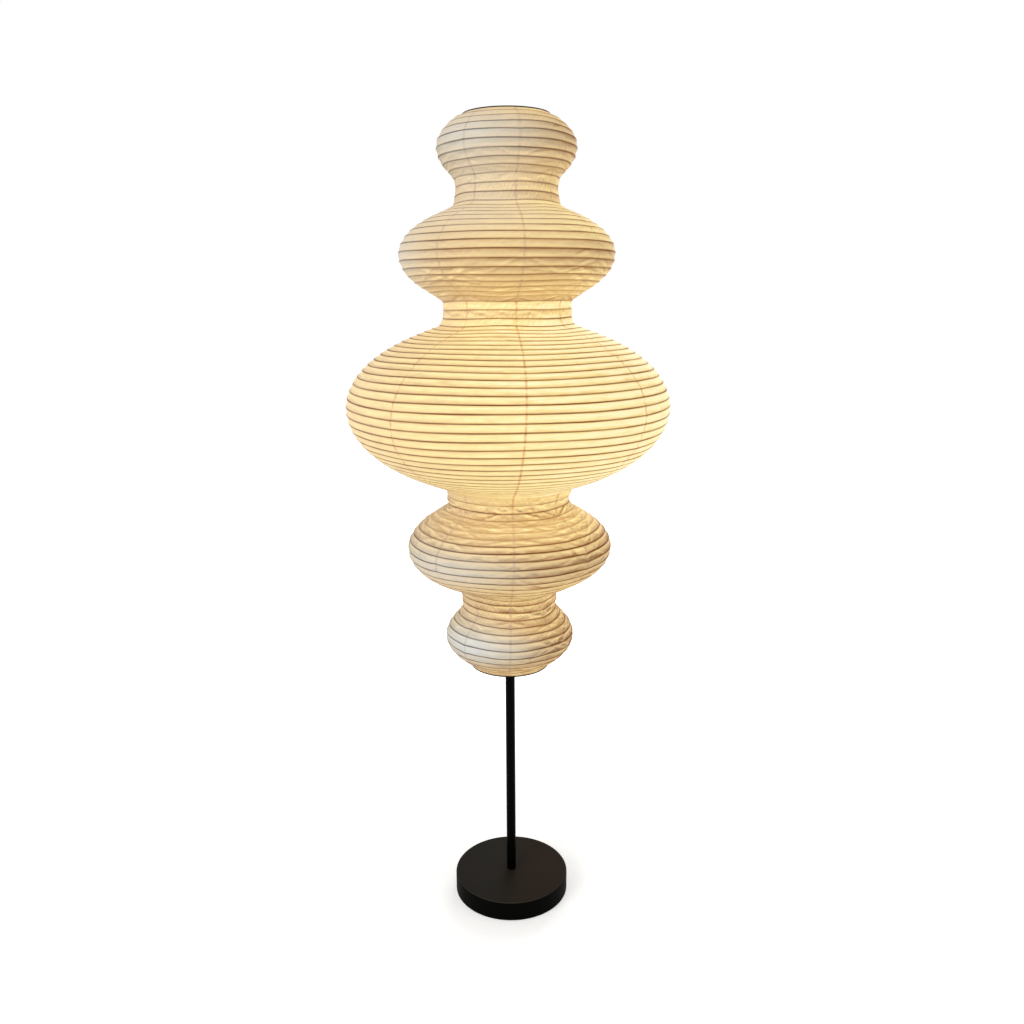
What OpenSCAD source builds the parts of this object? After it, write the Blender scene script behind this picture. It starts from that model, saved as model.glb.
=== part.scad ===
// Paper lantern floor lamp: a ribbed lantern of five bulges hung on a slim stand with a round base.
// Millimetres, +Z up. The origin is on the floor, on the axis of the pole.

/* [Lantern outline] */
// Height of the lower rim above the floor
rim_low_z = 509; // [490:1:525]
// Height of the upper rim above the floor
rim_top_z = 1533; // [1520:1:1545]
// Height of the middle of the lantern above the floor
lantern_mid_z = 1025; // [1020:1:1030]
// How far the heavy main bulge sags below the middle
main_sag = 3; // [0:1:8]
// Diameter of the main bulge at its widest rib
main_d = 602; // [560:2:640]
// Diameter of the two bulges next to the main one
side_d = 390; // [350:2:430]
// Diameter of the two end bulges
end_d = 247; // [230:1:270]
// Full height of the ellipse behind the main bulge
main_h = 318; // [300:2:326]
// Full height of the ellipse behind each side bulge
side_h = 180; // [160:2:190]
// Full height of the ellipse behind each end bulge
end_h = 129; // [120:1:134]
// Distance from the middle to the side bulges
side_rise = 271; // [266:1:276]
// Distance from the middle to the end bulges
end_rise = 453; // [448:1:458]
// Diameter of the two necks beside the main bulge
inner_neck_d = 236; // [200:2:250]
// Diameter of the two outer necks
outer_neck_d = 184; // [170:2:200]
// Distance from the middle to the necks beside the main bulge
inner_neck_rise = 165; // [160:1:170]
// Distance from the middle to the outer necks
outer_neck_rise = 385; // [375:1:395]
// Diameter of both rims
rim_d = 156; // [154:1:170]
// How crisply a bulge meets its neck: the power in the mean of their radii
crispness = 6; // [5:0.5:9]

/* [Paper, ribs and lantern wires] */
// Distance from rib to rib along the paper
rib_pitch = 15; // [14:0.5:22]
// Thickness of a rib
rib_d = 1.8; // [1.4:0.1:2.4]
// Thickness of the paper
paper_t = 0.5; // [0.4:0.1:0.8]
// Number of paper gores glued side by side round the lantern
gores = 8; // [6:1:12]
// Turn of the first seam of the middle bulge from +X towards +Y, in degrees
seam_turn = 5.5; // [0:0.5:40]
// How far the seams wander round from the lowest bulge to the highest one, in degrees
seam_twist = 10; // [0:1:20]
// Thickness of the steel wire of the two rims
ring_wire_d = 3; // [2.5:0.1:3.2]
// Thickness of the four arms of the top frame
arm_wire_d = 3.4; // [3:0.1:4]

/* [Base] */
// Diameter of the round base
base_d = 234; // [200:2:260]
// Height of the base above the floor
base_h = 42; // [38:1:50]
// Wall of the pressed steel cover
cover_t = 2; // [1.5:0.1:3]
// Radius of the rounded upper edge of the cover
cover_edge_r = 4; // [3:0.5:6]
// Thickness of the iron disc inside the base
weight_t = 14; // [13:1:20]
// Thickness of the felt pad that the base stands on
pad_t = 3; // [2.5:0.5:4]
// Diameter of the hole for the lead in the gland
gland_bore_d = 7; // [5:0.5:7.5]

/* [Pole] */
// Outer diameter of the pole
pole_d = 19; // [18:0.5:22]
// Wall of the pole
pole_t = 1.5; // [1.2:0.1:1.8]
// Height of the joint between the two pole sections
pole_joint_z = 545; // [530:1:600]
// Height of the top of the pole
pole_top_z = 965; // [930:1:970]
// Diameter of the rod that carries the lantern
rod_d = 10; // [9:0.5:10]

/* [Lamp] */
// Distance from the rod to the axis of the bulb
bulb_x = 38; // [37:0.5:40]
// Diameter of the bulb's globe
globe_d = 60; // [55:1:62]
// Outer diameter of the lampholder
holder_d = 40; // [38:0.5:41]

/* [Hidden] */
$fn = 96;
eps = 0.01;       // overrun of a cutting tool past the face that it opens
thread_gap = 0.05; // radial play of a screwed or pushed fit
glue = 0.1;        // depth by which a glued piece sits in its neighbour
seam_gap = 0.02;   // hairline between two gores, in degrees
rib_sides = 8;     // a rib is a shaved strip with flats, and one flat is glued to the paper

// Colours
paper_c = "#F3E3BE";
rib_c = "#8A6A45";
black_c = "#1B1918";
iron_c = "#4A4A4C";
zinc_c = "#B9BCC0";
brass_c = "#C9A24D";
opal_c = "#FBF6E9";
porcelain_c = "#EFEBE2";

// ---- Outline of the lantern: bulges from the floor up, and the necks and rims between them
bulge_z = [lantern_mid_z - end_rise, lantern_mid_z - side_rise, lantern_mid_z - main_sag,
           lantern_mid_z + side_rise, lantern_mid_z + end_rise];
bulge_r = [end_d, side_d, main_d, side_d, end_d] / 2;
bulge_half = [end_h, side_h, main_h, side_h, end_h] / 2;
stops = [
    [rim_low_z, rim_d / 2],
    [lantern_mid_z - outer_neck_rise, outer_neck_d / 2],
    [lantern_mid_z - inner_neck_rise, inner_neck_d / 2],
    [lantern_mid_z + inner_neck_rise, inner_neck_d / 2],
    [lantern_mid_z + outer_neck_rise, outer_neck_d / 2],
    [rim_top_z, rim_d / 2]
];

// Radius of one bulge's ellipse at height z, and 0 beyond its ends
function swell(z, i) =
    let (u = (z - bulge_z[i]) / bulge_half[i]) abs(u) >= 1 ? 0 : bulge_r[i] * sqrt(1 - u * u);

// Radius of the paper at height z: the power mean of the neck line and the five ellipses, which
// rounds the corner where a bulge springs from its neck
function paper_r(z) =
    let (terms = [pow(lookup(z, stops), crispness), for (i = [0:4]) pow(swell(z, i), crispness)])
    pow(total(terms), 1 / crispness);

function total(v, i = 0) = i == len(v) ? 0 : v[i] + total(v, i + 1);

// The outline in fine steps, with the length of paper from the lower rim up to each step
outline_steps = 1024;
step_h = (rim_top_z - rim_low_z) / outline_steps;
step_r = [for (i = [0:outline_steps]) paper_r(rim_low_z + i * step_h)];
rise_by_length = [
    for (i = 0, s = 0; i <= outline_steps;
         s = s + (i < outline_steps ? norm([step_h, step_r[i + 1] - step_r[i]]) : 0), i = i + 1)
        [s, rim_low_z + i * step_h]
];
paper_length = rise_by_length[outline_steps][0];

// Ribs lie at equal steps along the paper. The first and the last one are the rims
bays = round(paper_length / rib_pitch);
rib_z = [for (k = [0:bays]) lookup(k * paper_length / bays, rise_by_length)];
rib_point = [for (z = rib_z) [paper_r(z), z]];

// Unit vector out of the paper at rib k, from the ribs beside it
function rib_out(k) =
    let (a = rib_point[max(k - 1, 0)], b = rib_point[min(k + 1, bays)], d = b - a)
    [d[1], -d[0]] / norm(d);

// Rib nearest to each rim and neck, where one bulge ends and the next begins
function nearest_rib(z, k = 0) =
    k == bays || abs(rib_z[k + 1] - z) >= abs(rib_z[k] - z) && rib_z[k] > z - rib_pitch
        ? k : nearest_rib(z, k + 1);
stop_rib = [0, for (i = [1:4]) nearest_rib(stops[i][0]), bays];

// ---- Heights and radii of the stand
cover_r = base_d / 2;
cover_low_z = 2;
weight_r = cover_r - cover_t - 0.3;
weight_top_z = pad_t + weight_t;
boss_top_z = base_h - cover_t;
boss_r = 30;
recess_r = 22;
recess_top_z = pad_t + 10;
slot_w = 16;
slot_h = 13;
stud_r = 6;
stud_low_z = pad_t + 1;
stud_top_z = base_h + 20;
hole_play = 0.5;
nut_z = recess_top_z - 9.5;
nut_h = 5.5;
lock_washer_h = 2;
washer_h = 2;
gland_z = 10;
gland_r = 4.5;
gland_flange_r = 6;
flange_h = 2;
pole_r = pole_d / 2;
pole_bore_r = pole_r - pole_t;
plug_r = pole_bore_r - thread_gap;
plug_h = 22;
rod_r = rod_d / 2;
bracket_z = pole_top_z + flange_h;
bracket_t = 3;
bracket_w = 22;
holder_z = bracket_z + bracket_t;
rod_nut_h = 6;

// ---- Where the lantern hangs: the hub of the top frame sits on a ferrule near the rod's end
ring_wire_r = ring_wire_d / 2;
rim_ring_r = rim_d / 2 - ring_wire_r;
hub_drop = 21;
hub_z = rim_top_z - hub_drop;
hub_h = 4;
hub_r = 14;
ferrule_h = 8;
cap_nut_z = hub_z + hub_h;
rod_top_z = cap_nut_z + 11;
cap_nut_h = 15;

// ---- The lower spider, which centres the lower rim on the pole from just inside the lantern
spider_z = rim_low_z + 8;
collar_r = 14;
collar_h = 16;
spider_arm_r = 2;
spider_tip_r = rim_ring_r - ring_wire_r - spider_arm_r - 0.6;
spider_tip_h = 6;
screw_r = 2.5;

// ---- Lampholder and bulb, as heights above the bracket
nipple_r = 5;
nipple_bore_r = 3.6;
nipple_top = 9;
core_r = 15.4;
core_h = 14;
sleeve_r = 14;
sleeve_t = 0.6;
sleeve_h = 26;
skirt_low = 20;
skirt_h = 33;
contact_h = 3;
tip_low = nipple_top + core_h + contact_h;
tip_h = 3;
insulator_h = 4;
cap_h = 18;
cap_r = 13;
body_h = 28;
body_r = 24;
globe_t = 1.5;
insulator_low = tip_low + tip_h;
cap_low = insulator_low + insulator_h;
body_low = cap_low + cap_h;
globe_low = body_low + body_h;

// A ring of rectangular section round the Z axis
module tube(r_out, r_in, z, h) {
    translate([0, 0, z])
        difference() {
            cylinder(r = r_out, h = h);
            translate([0, 0, -eps]) cylinder(r = r_in, h = h + 2 * eps);
        }
}

// A six-sided nut with bevelled corners on both faces
module hex_nut(across, bore_r, z, h) {
    corner_r = across / 2 / cos(30);
    bevel = 0.8;
    translate([0, 0, z])
        difference() {
            intersection() {
                cylinder(r = corner_r, h = h, $fn = 6);
                rotate_extrude()
                    polygon([
                        [0, 0], [corner_r - bevel, 0], [corner_r + eps, bevel],
                        [corner_r + eps, h - bevel], [corner_r - bevel, h], [0, h]
                    ]);
            }
            translate([0, 0, -eps]) cylinder(r = bore_r, h = h + 2 * eps);
        }
}

// A round wire or bar from point a to point b
module bar(a, b, r) {
    d = b - a;
    translate(a)
        rotate([0, acos(d[2] / norm(d)), atan2(d[1], d[0])])
            cylinder(r = r, h = norm(d));
}

// ---- Base
module felt_pad() {
    color("#3A3836")
        tube(weight_r - 5, recess_r + 4, 0, pad_t);
}

module base_weight() {
    edge = 2;
    color(iron_c)
        difference() {
            rotate_extrude()
                polygon([
                    [stud_r + hole_play, recess_top_z], [recess_r, recess_top_z],
                    [recess_r, pad_t], [weight_r - edge, pad_t], [weight_r, pad_t + edge],
                    [weight_r, weight_top_z - edge], [weight_r - edge, weight_top_z],
                    [boss_r + 8, weight_top_z], [boss_r, weight_top_z + 6],
                    [boss_r - 2, boss_top_z], [stud_r + hole_play, boss_top_z]
                ]);
            translate([-slot_w / 2, recess_r - 4, pad_t - eps])
                cube([slot_w, weight_r, slot_h + eps]);
        }
}

// Pressed steel dish: a flat top, a rounded edge and a straight wall down to just above the floor
module base_cover() {
    arc_steps = 10;
    inner_r = cover_edge_r - cover_t;
    function edge(r, i) =
        [cover_r - cover_edge_r, base_h - cover_edge_r] + r * [sin(90 * i), cos(90 * i)];
    color(black_c)
        difference() {
            rotate_extrude()
                polygon([
                    [stud_r + hole_play, base_h],
                    for (i = [0:arc_steps]) edge(cover_edge_r, i / arc_steps),
                    [cover_r, cover_low_z], [cover_r - cover_t, cover_low_z],
                    for (i = [arc_steps:-1:0]) edge(inner_r, i / arc_steps),
                    [stud_r + hole_play, boss_top_z]
                ]);
            translate([0, cover_r + eps, gland_z])
                rotate([90, 0, 0]) cylinder(r = gland_r + thread_gap, h = 2 * cover_t);
        }
}

module base_stud() {
    color(zinc_c)
        tube(stud_r, stud_r - 2, stud_low_z, stud_top_z - stud_low_z);
}

module base_washer() {
    color(zinc_c)
        tube(17, stud_r + hole_play, recess_top_z - washer_h, washer_h);
}

// Spring washer: a flat ring with a slanting cut through one side
module base_lock_washer() {
    z = recess_top_z - washer_h - lock_washer_h;
    color(iron_c)
        difference() {
            tube(10, stud_r + thread_gap, z, lock_washer_h);
            translate([8, 0, z + lock_washer_h / 2])
                rotate([25, 0, 0]) cube([8, 1, 3 * lock_washer_h], center = true);
        }
}

module base_nut() {
    color(zinc_c)
        hex_nut(19, stud_r + thread_gap, nut_z, nut_h);
}

// Rubber bush with a flange on each side of the cover's wall
module cord_gland() {
    inner_y = cover_r - cover_t - 0.3 - flange_h;
    color("#141312")
        translate([0, inner_y, gland_z])
            rotate([-90, 0, 0])
                rotate_extrude()
                    polygon([
                        [gland_bore_d / 2, 0], [gland_flange_r, 0], [gland_flange_r, flange_h],
                        [gland_r, flange_h], [gland_r, cover_r - inner_y],
                        [gland_flange_r, cover_r - inner_y],
                        [gland_flange_r - 1, cover_r - inner_y + flange_h],
                        [gland_bore_d / 2, cover_r - inner_y + flange_h]
                    ]);
}

// ---- Pole
// Screwed plug: a flange between two ends, with a plug below it and one above it
module pole_plug(z, down, up, bore_r) {
    difference() {
        union() {
            translate([0, 0, z]) cylinder(r = pole_r, h = flange_h);
            translate([0, 0, z - down]) cylinder(r = plug_r, h = down + flange_h + up);
        }
        translate([0, 0, z - down - eps])
            cylinder(r = bore_r, h = down + flange_h + up + 2 * eps);
    }
}

module pole_foot() {
    color(zinc_c) pole_plug(base_h, 0, plug_h, stud_r + thread_gap);
}

module lower_pole() {
    z = base_h + flange_h;
    color(black_c) tube(pole_r, pole_bore_r, z, pole_joint_z - flange_h / 2 - z);
}

module pole_joiner() {
    color(black_c) pole_plug(pole_joint_z - flange_h / 2, plug_h, plug_h, 4.5);
}

module upper_pole() {
    z = pole_joint_z + flange_h / 2;
    color(black_c) tube(pole_r, pole_bore_r, z, pole_top_z - z);
}

module pole_head() {
    color(zinc_c) pole_plug(pole_top_z, plug_h, 0, rod_r + thread_gap);
}

// Collar on the pole with three wire arms, whose bent tips reach down inside the lower rim
module lower_spider() {
    tip_z = spider_z - spider_tip_h;
    color(black_c)
        difference() {
            union() {
                translate([0, 0, spider_z - collar_h / 2]) cylinder(r = collar_r, h = collar_h);
                for (a = [90, 210, 330])
                    rotate([0, 0, a]) {
                        bar([pole_r, 0, spider_z], [spider_tip_r, 0, spider_z], spider_arm_r);
                        translate([spider_tip_r, 0, spider_z]) sphere(r = spider_arm_r);
                        translate([spider_tip_r, 0, tip_z]) {
                            cylinder(r = spider_arm_r, h = spider_tip_h);
                            sphere(r = spider_arm_r);
                        }
                    }
            }
            translate([0, 0, spider_z - collar_h])
                cylinder(r = pole_r + thread_gap, h = 2 * collar_h);
            rotate([0, 0, 30])
                bar([0, 0, spider_z], [2 * collar_r, 0, spider_z], screw_r + thread_gap);
        }
}

// Socket screw that holds the collar on the pole
module collar_screw() {
    low = pole_r + thread_gap;
    socket_r = 1.5;
    color(zinc_c)
        rotate([0, 0, 30])
            difference() {
                bar([low, 0, spider_z], [collar_r + 3, 0, spider_z], screw_r);
                translate([collar_r, 0, spider_z])
                    rotate([0, 90, 0]) cylinder(r = socket_r, h = 4, $fn = 6);
            }
}

// ---- Lamp bracket, rod and lampholder
module lamp_bracket() {
    color(black_c)
        translate([0, 0, bracket_z])
            difference() {
                union() {
                    cylinder(r = bracket_w / 2, h = bracket_t);
                    translate([bulb_x, 0, 0]) cylinder(r = bracket_w / 2, h = bracket_t);
                    translate([0, -bracket_w / 2, 0]) cube([bulb_x, bracket_w, bracket_t]);
                }
                translate([0, 0, -eps]) cylinder(r = rod_r + 0.1, h = bracket_t + 2 * eps);
                translate([bulb_x, 0, -eps])
                    cylinder(r = nipple_r + 0.1, h = bracket_t + 2 * eps);
            }
}

module rod_nut() {
    color(zinc_c) hex_nut(16, rod_r + thread_gap, holder_z, rod_nut_h);
}

module lantern_rod() {
    low = pole_top_z - plug_h + 4;
    bevel = 1;
    color(black_c)
        rotate_extrude()
            polygon([
                [0, low], [rod_r, low], [rod_r, rod_top_z - bevel],
                [rod_r - bevel, rod_top_z], [0, rod_top_z]
            ]);
}

// Shouldered collar on the rod, on which the hub of the lantern sits
module rod_ferrule() {
    low = hub_z - ferrule_h;
    color(black_c)
        rotate_extrude()
            polygon([
                [rod_r + thread_gap, low], [rod_r + 1.5, low], [9, hub_z - 3], [9, hub_z],
                [rod_r + thread_gap, hub_z]
            ]);
}

// Puts a lampholder or bulb piece on the lamp's own axis, with its heights from the bracket up
module at_lamp() {
    translate([bulb_x, 0, holder_z]) children();
}

module holder_nipple() {
    low = -bracket_t - 7;
    color(zinc_c)
        at_lamp() tube(nipple_r, nipple_bore_r, low, nipple_top - low);
}

module nipple_nut() {
    h = 4;
    color(zinc_c)
        at_lamp() hex_nut(14, nipple_r + thread_gap, -bracket_t - h, h);
}

// Domed lower half of the lampholder, open at the top
module holder_cap() {
    r = holder_d / 2;
    bore = nipple_r + thread_gap;
    color(black_c)
        at_lamp()
            rotate_extrude()
                polygon([
                    [bore, 0], [r - 10, 0], [r - 3.5, 4.5], [r - 0.8, 11], [r, 17],
                    [r, skirt_low], [r - 2, skirt_low], [r - 2.4, 12], [r - 5, 6.5],
                    [r - 10.5, 2.5], [bore, 2.5]
                ]);
}

// Porcelain core that carries the contacts
module holder_core() {
    color(porcelain_c)
        at_lamp()
            difference() {
                translate([0, 0, nipple_top]) cylinder(r = core_r, h = core_h);
                for (a = [60, 180, 300])
                    rotate([0, 0, a])
                        translate([10, 0, nipple_top - eps])
                            cylinder(r = 1.6, h = core_h + 2 * eps);
            }
}

// Rolled thread: rounded ridges at the pitch of the lamp cap, from height a to height b
function ridges(r, depth, a, b, pitch = 3.6) =
    [for (z = [a:pitch / 4:b]) [r - depth * (1 - cos(360 * (z - a) / pitch)) / 2, z]];

module holder_sleeve() {
    low = nipple_top + core_h;
    color(brass_c)
        at_lamp() tube(sleeve_r, sleeve_r - sleeve_t, low, sleeve_h);
}

module holder_contact() {
    low = nipple_top + core_h;
    color(brass_c)
        at_lamp() {
            translate([-7, -2, low]) cube([9, 4, 0.8]);
            translate([0, 0, low]) cylinder(r = 2.5, h = contact_h);
        }
}

// Upper half of the lampholder: a grip band at the foot and a skirt round the lamp cap
module holder_skirt() {
    r = holder_d / 2;
    grooves = 24;
    top = skirt_low + skirt_h;
    color(black_c)
        at_lamp()
            difference() {
                rotate_extrude()
                    polygon([
                        [r - 2.6, skirt_low], [r + 1, skirt_low], [r + 1, skirt_low + 9],
                        [r - 0.4, skirt_low + 11], [r - 1.6, top - 2], [r - 2.4, top],
                        [r - 3.6, top], [r - 2.6, skirt_low + 11]
                    ]);
                for (i = [0:grooves - 1])
                    rotate([0, 0, i * 360 / grooves])
                        translate([r + 1.4, 0, skirt_low + 1.5]) cylinder(r = 1, h = 6);
            }
}

// ---- Bulb
module bulb_tip() {
    color(zinc_c)
        at_lamp() translate([0, 0, tip_low]) cylinder(r1 = 3, r2 = 4.5, h = tip_h);
}

module bulb_insulator() {
    color("#201E1C")
        at_lamp() translate([0, 0, insulator_low]) cylinder(r1 = 5, r2 = 10, h = insulator_h);
}

module bulb_cap() {
    color(zinc_c)
        at_lamp()
            rotate_extrude()
                polygon([
                    [0, cap_low], [10, cap_low],
                    each ridges(cap_r, 0.9, cap_low + 1.8, cap_low + 14.4),
                    [cap_r, body_low], [0, body_low]
                ]);
}

// Plastic neck that widens from the metal cap to the globe
module bulb_body() {
    steps = 8;
    color(porcelain_c)
        at_lamp()
            rotate_extrude()
                polygon([
                    [0, body_low],
                    for (i = [0:steps])
                        [cap_r + (body_r - cap_r) * (1 - cos(180 * i / steps)) / 2,
                         body_low + body_h * i / steps],
                    [0, globe_low]
                ]);
}

// Opal globe: a hollow sphere cut where it meets the neck
module bulb_globe() {
    r = globe_d / 2;
    centre = globe_low + sqrt(r * r - body_r * body_r);
    color(opal_c)
        at_lamp()
            difference() {
                translate([0, 0, centre]) sphere(r = r);
                translate([0, 0, centre]) sphere(r = r - globe_t);
                translate([-r, -r, globe_low - 2 * r]) cube(2 * r);
            }
}

// ---- Lantern
// Welded wire frame of the upper rim: the ring, four arms that dip inwards and a hub
module top_frame() {
    ring_z = rim_top_z - ring_wire_r;
    arm_r = arm_wire_d / 2;
    color(black_c)
        difference() {
            union() {
                translate([0, 0, ring_z])
                    rotate_extrude() translate([rim_ring_r, 0]) circle(r = ring_wire_r, $fn = 24);
                translate([0, 0, hub_z]) cylinder(r = hub_r, h = hub_h);
                for (a = [45:90:315])
                    rotate([0, 0, a])
                        bar([hub_r - 4, 0, hub_z + hub_h / 2], [rim_ring_r, 0, ring_z], arm_r);
            }
            translate([0, 0, hub_z - eps]) cylinder(r = rod_r + 0.1, h = hub_h + 2 * eps);
        }
}

module lower_ring() {
    color(black_c)
        translate([0, 0, rim_low_z + ring_wire_r])
            rotate_extrude() translate([rim_ring_r, 0]) circle(r = ring_wire_r, $fn = 24);
}

// Domed nut on the end of the rod, over the hub
module cap_nut() {
    r = 8;
    bore = rod_r + 0.1;
    bore_top = cap_nut_z + 12;
    dome_z = cap_nut_z + cap_nut_h - r;
    steps = 10;
    color(black_c)
        rotate_extrude()
            polygon([
                [bore, cap_nut_z], [r + 1.5, cap_nut_z], [r + 1.5, cap_nut_z + 1.6],
                [r, cap_nut_z + 3],
                for (i = [0:steps]) [r * cos(90 * i / steps), dome_z + r * sin(90 * i / steps)],
                [0, bore_top], [bore, bore_top]
            ]);
}

// Outline of the paper at rib k. At a rim its edge is glued to the wire, on the side towards the
// next rib, and the rest of the wire shows as a thin dark line
function paper_point(k) =
    k > 0 && k < bays ? rib_point[k]
        : let (wire_z = k == 0 ? rim_low_z + ring_wire_r : rim_top_z - ring_wire_r,
               wire = [rim_ring_r, wire_z],
               way = rib_point[k == 0 ? 1 : bays - 1] - wire)
          wire + (ring_wire_r - glue) * way / norm(way);

// Paper of one bulge: gores side by side, each flat from rib to rib up the outline
module paper_bulge(i) {
    first = stop_rib[i];
    last = stop_rib[i + 1];
    outer = [for (k = [first:last]) paper_point(k)];
    inner = [for (k = [last:-1:first]) paper_point(k) - paper_t * rib_out(k)];
    turn = seam_turn + seam_twist * (bulge_z[i] - lantern_mid_z) / (2 * end_rise);
    color(paper_c)
        for (g = [0:gores - 1])
            rotate([0, 0, turn + g * 360 / gores])
                rotate_extrude(angle = 360 / gores - seam_gap) polygon(concat(outer, inner));
}

// Ribs of one bulge: closed rings glued inside the paper by one flat. The rims have wires instead
module bulge_ribs(i) {
    first = max(stop_rib[i], 1);
    last = i == 4 ? bays - 1 : stop_rib[i + 1] - 1;
    half = rib_d / 2;
    color(rib_c)
        for (k = [first:last])
            let (n = rib_out(k), p = rib_point[k] - (paper_t + half - glue) * n)
                translate([0, 0, p[1]])
                    rotate_extrude()
                        translate([p[0], 0])
                            rotate(atan2(n[1], n[0]) + 180 / rib_sides)
                                circle(r = half / cos(180 / rib_sides), $fn = rib_sides);
}

felt_pad();
base_weight();
base_cover();
base_stud();
base_washer();
base_lock_washer();
base_nut();
cord_gland();
pole_foot();
lower_pole();
pole_joiner();
upper_pole();
lower_spider();
collar_screw();
pole_head();
lamp_bracket();
rod_nut();
lantern_rod();
rod_ferrule();
holder_nipple();
nipple_nut();
holder_cap();
holder_core();
holder_sleeve();
holder_contact();
holder_skirt();
bulb_tip();
bulb_insulator();
bulb_cap();
bulb_body();
bulb_globe();
top_frame();
lower_ring();
cap_nut();
paper_bulge(0);  // paper_bottom_bulge
paper_bulge(1);  // paper_lower_bulge
paper_bulge(2);  // paper_main_bulge
paper_bulge(3);  // paper_upper_bulge
paper_bulge(4);  // paper_top_bulge
bulge_ribs(0);  // ribs_bottom_bulge
bulge_ribs(1);  // ribs_lower_bulge
bulge_ribs(2);  // ribs_main_bulge
bulge_ribs(3);  // ribs_upper_bulge
bulge_ribs(4);  // ribs_top_bulge
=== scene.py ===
"""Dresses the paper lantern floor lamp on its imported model, in metres, +Z up.

The lantern is one sheet of paper over ribs that lie at even steps along an outline. Each bulge's paper and
ribs are worked out here again, with the sag of the paper between its ribs, its wrinkles and its glow.
"""
import logging
import math
from dataclasses import dataclass, field
from enum import Enum
from typing import Any, Optional

import bpy
import numpy as np
from mathutils import Matrix, Vector


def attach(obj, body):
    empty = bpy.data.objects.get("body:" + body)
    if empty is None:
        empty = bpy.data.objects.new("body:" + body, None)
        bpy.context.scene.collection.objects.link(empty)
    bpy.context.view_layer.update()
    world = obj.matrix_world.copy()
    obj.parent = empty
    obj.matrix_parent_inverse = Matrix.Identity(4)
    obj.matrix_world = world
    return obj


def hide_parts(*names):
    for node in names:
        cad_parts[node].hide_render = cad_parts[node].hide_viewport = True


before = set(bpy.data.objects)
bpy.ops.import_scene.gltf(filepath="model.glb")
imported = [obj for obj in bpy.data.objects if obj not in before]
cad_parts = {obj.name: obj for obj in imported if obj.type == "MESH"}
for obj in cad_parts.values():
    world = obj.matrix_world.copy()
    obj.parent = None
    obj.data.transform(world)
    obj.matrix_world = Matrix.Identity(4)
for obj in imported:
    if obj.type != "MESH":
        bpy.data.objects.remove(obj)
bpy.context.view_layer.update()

UV_NAME = "paper"
BAY = 0.01506         # length of paper from rib to rib, in metres
SHARP_DEGREES = 60    # an edge that turns further than this stays sharp
log = logging.getLogger("lantern")


class Body(Enum):
    """The bodies of the lamp that pieces ride on."""

    STAND = "stand"
    BULB = "bulb"
    LANTERN = "lantern"
    CAP_NUT = "cap_nut"


class Slot(Enum):
    """The record's material slots for the finishes of the new pieces."""

    PAPER = "lantern_paper"
    RIB = "bamboo_rib"


def linear(code: str) -> tuple[float, float, float, float]:
    """Turns an sRGB hex value into a linear colour.

    Args:
        code: Six hex digits after a hash.

    Returns:
        Red, green, blue and an alpha of 1, each from 0 to 1.
    """
    parts = np.array([int(code[i:i + 2], 16) for i in (1, 3, 5)]) / 255
    red, green, blue = np.where(parts <= 0.04045, parts / 12.92, ((parts + 0.055) / 1.055) ** 2.4)
    return float(red), float(green), float(blue), 1.0


def add(tree: bpy.types.NodeTree, kind: str, settings: Optional[dict[Any, Any]] = None,
        links: Optional[dict[Any, Any]] = None) -> bpy.types.Node:
    """Adds one node to a tree, with its settings and the links into it.

    Args:
        tree: The material's or the world's node tree.
        kind: The node's type.
        settings: Values by input name or number, or by property name. The key "stops" fills a colour ramp
            with pairs of place and colour.
        links: Output sockets by the input name or number that each one feeds.

    Returns:
        The new node.
    """
    node = tree.nodes.new(kind)
    for key, value in (settings or {}).items():
        if key == "stops":
            ramp = node.color_ramp
            while len(ramp.elements) < len(value):
                ramp.elements.new(0.5)
            for element, (place, colour) in zip(ramp.elements, value):
                element.position, element.color = place, colour
        elif isinstance(key, int) or key in node.inputs:
            node.inputs[key].default_value = value
        else:
            setattr(node, key, value)
    for key, source in (links or {}).items():
        tree.links.new(source, node.inputs[key])
    return node


def new_material(name: str) -> tuple[bpy.types.Material, bpy.types.NodeTree, bpy.types.Node]:
    """Starts a material from an empty tree.

    Args:
        name: What the material is, in plain words.

    Returns:
        The material, its node tree and its Principled shader, already joined to the output.
    """
    material = bpy.data.materials.new(name)
    material.use_nodes = True
    tree = material.node_tree
    tree.nodes.clear()
    shader = add(tree, "ShaderNodeBsdfPrincipled")
    add(tree, "ShaderNodeOutputMaterial", links={"Surface": shader.outputs[0]})
    return material, tree, shader


def grain(tree: bpy.types.NodeTree, size_mm: float, detail: float = 2.0, stretch: Vector = Vector((1, 1, 1)),
          source: Optional[bpy.types.NodeSocket] = None) -> bpy.types.NodeSocket:
    """Noise whose blotches have a real size, on Object coordinates or on a given vector.

    Args:
        tree: The node tree to add to.
        size_mm: Width of a blotch in millimetres, or in the given vector's thousandths.
        detail: Octaves of finer noise on top.
        stretch: How much denser the noise is along each axis.
        source: A vector to use in place of Object coordinates.

    Returns:
        The noise's value, from 0 to 1.
    """
    place = source or add(tree, "ShaderNodeTexCoord").outputs["Object"]
    spread = add(tree, "ShaderNodeVectorMath", {"operation": "MULTIPLY", 1: stretch}, {0: place})
    noise = add(tree, "ShaderNodeTexNoise", {"Scale": 1000 / size_mm, "Detail": detail, "Roughness": 0.55},
                {"Vector": spread.outputs[0]})
    return noise.outputs[0]


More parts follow.
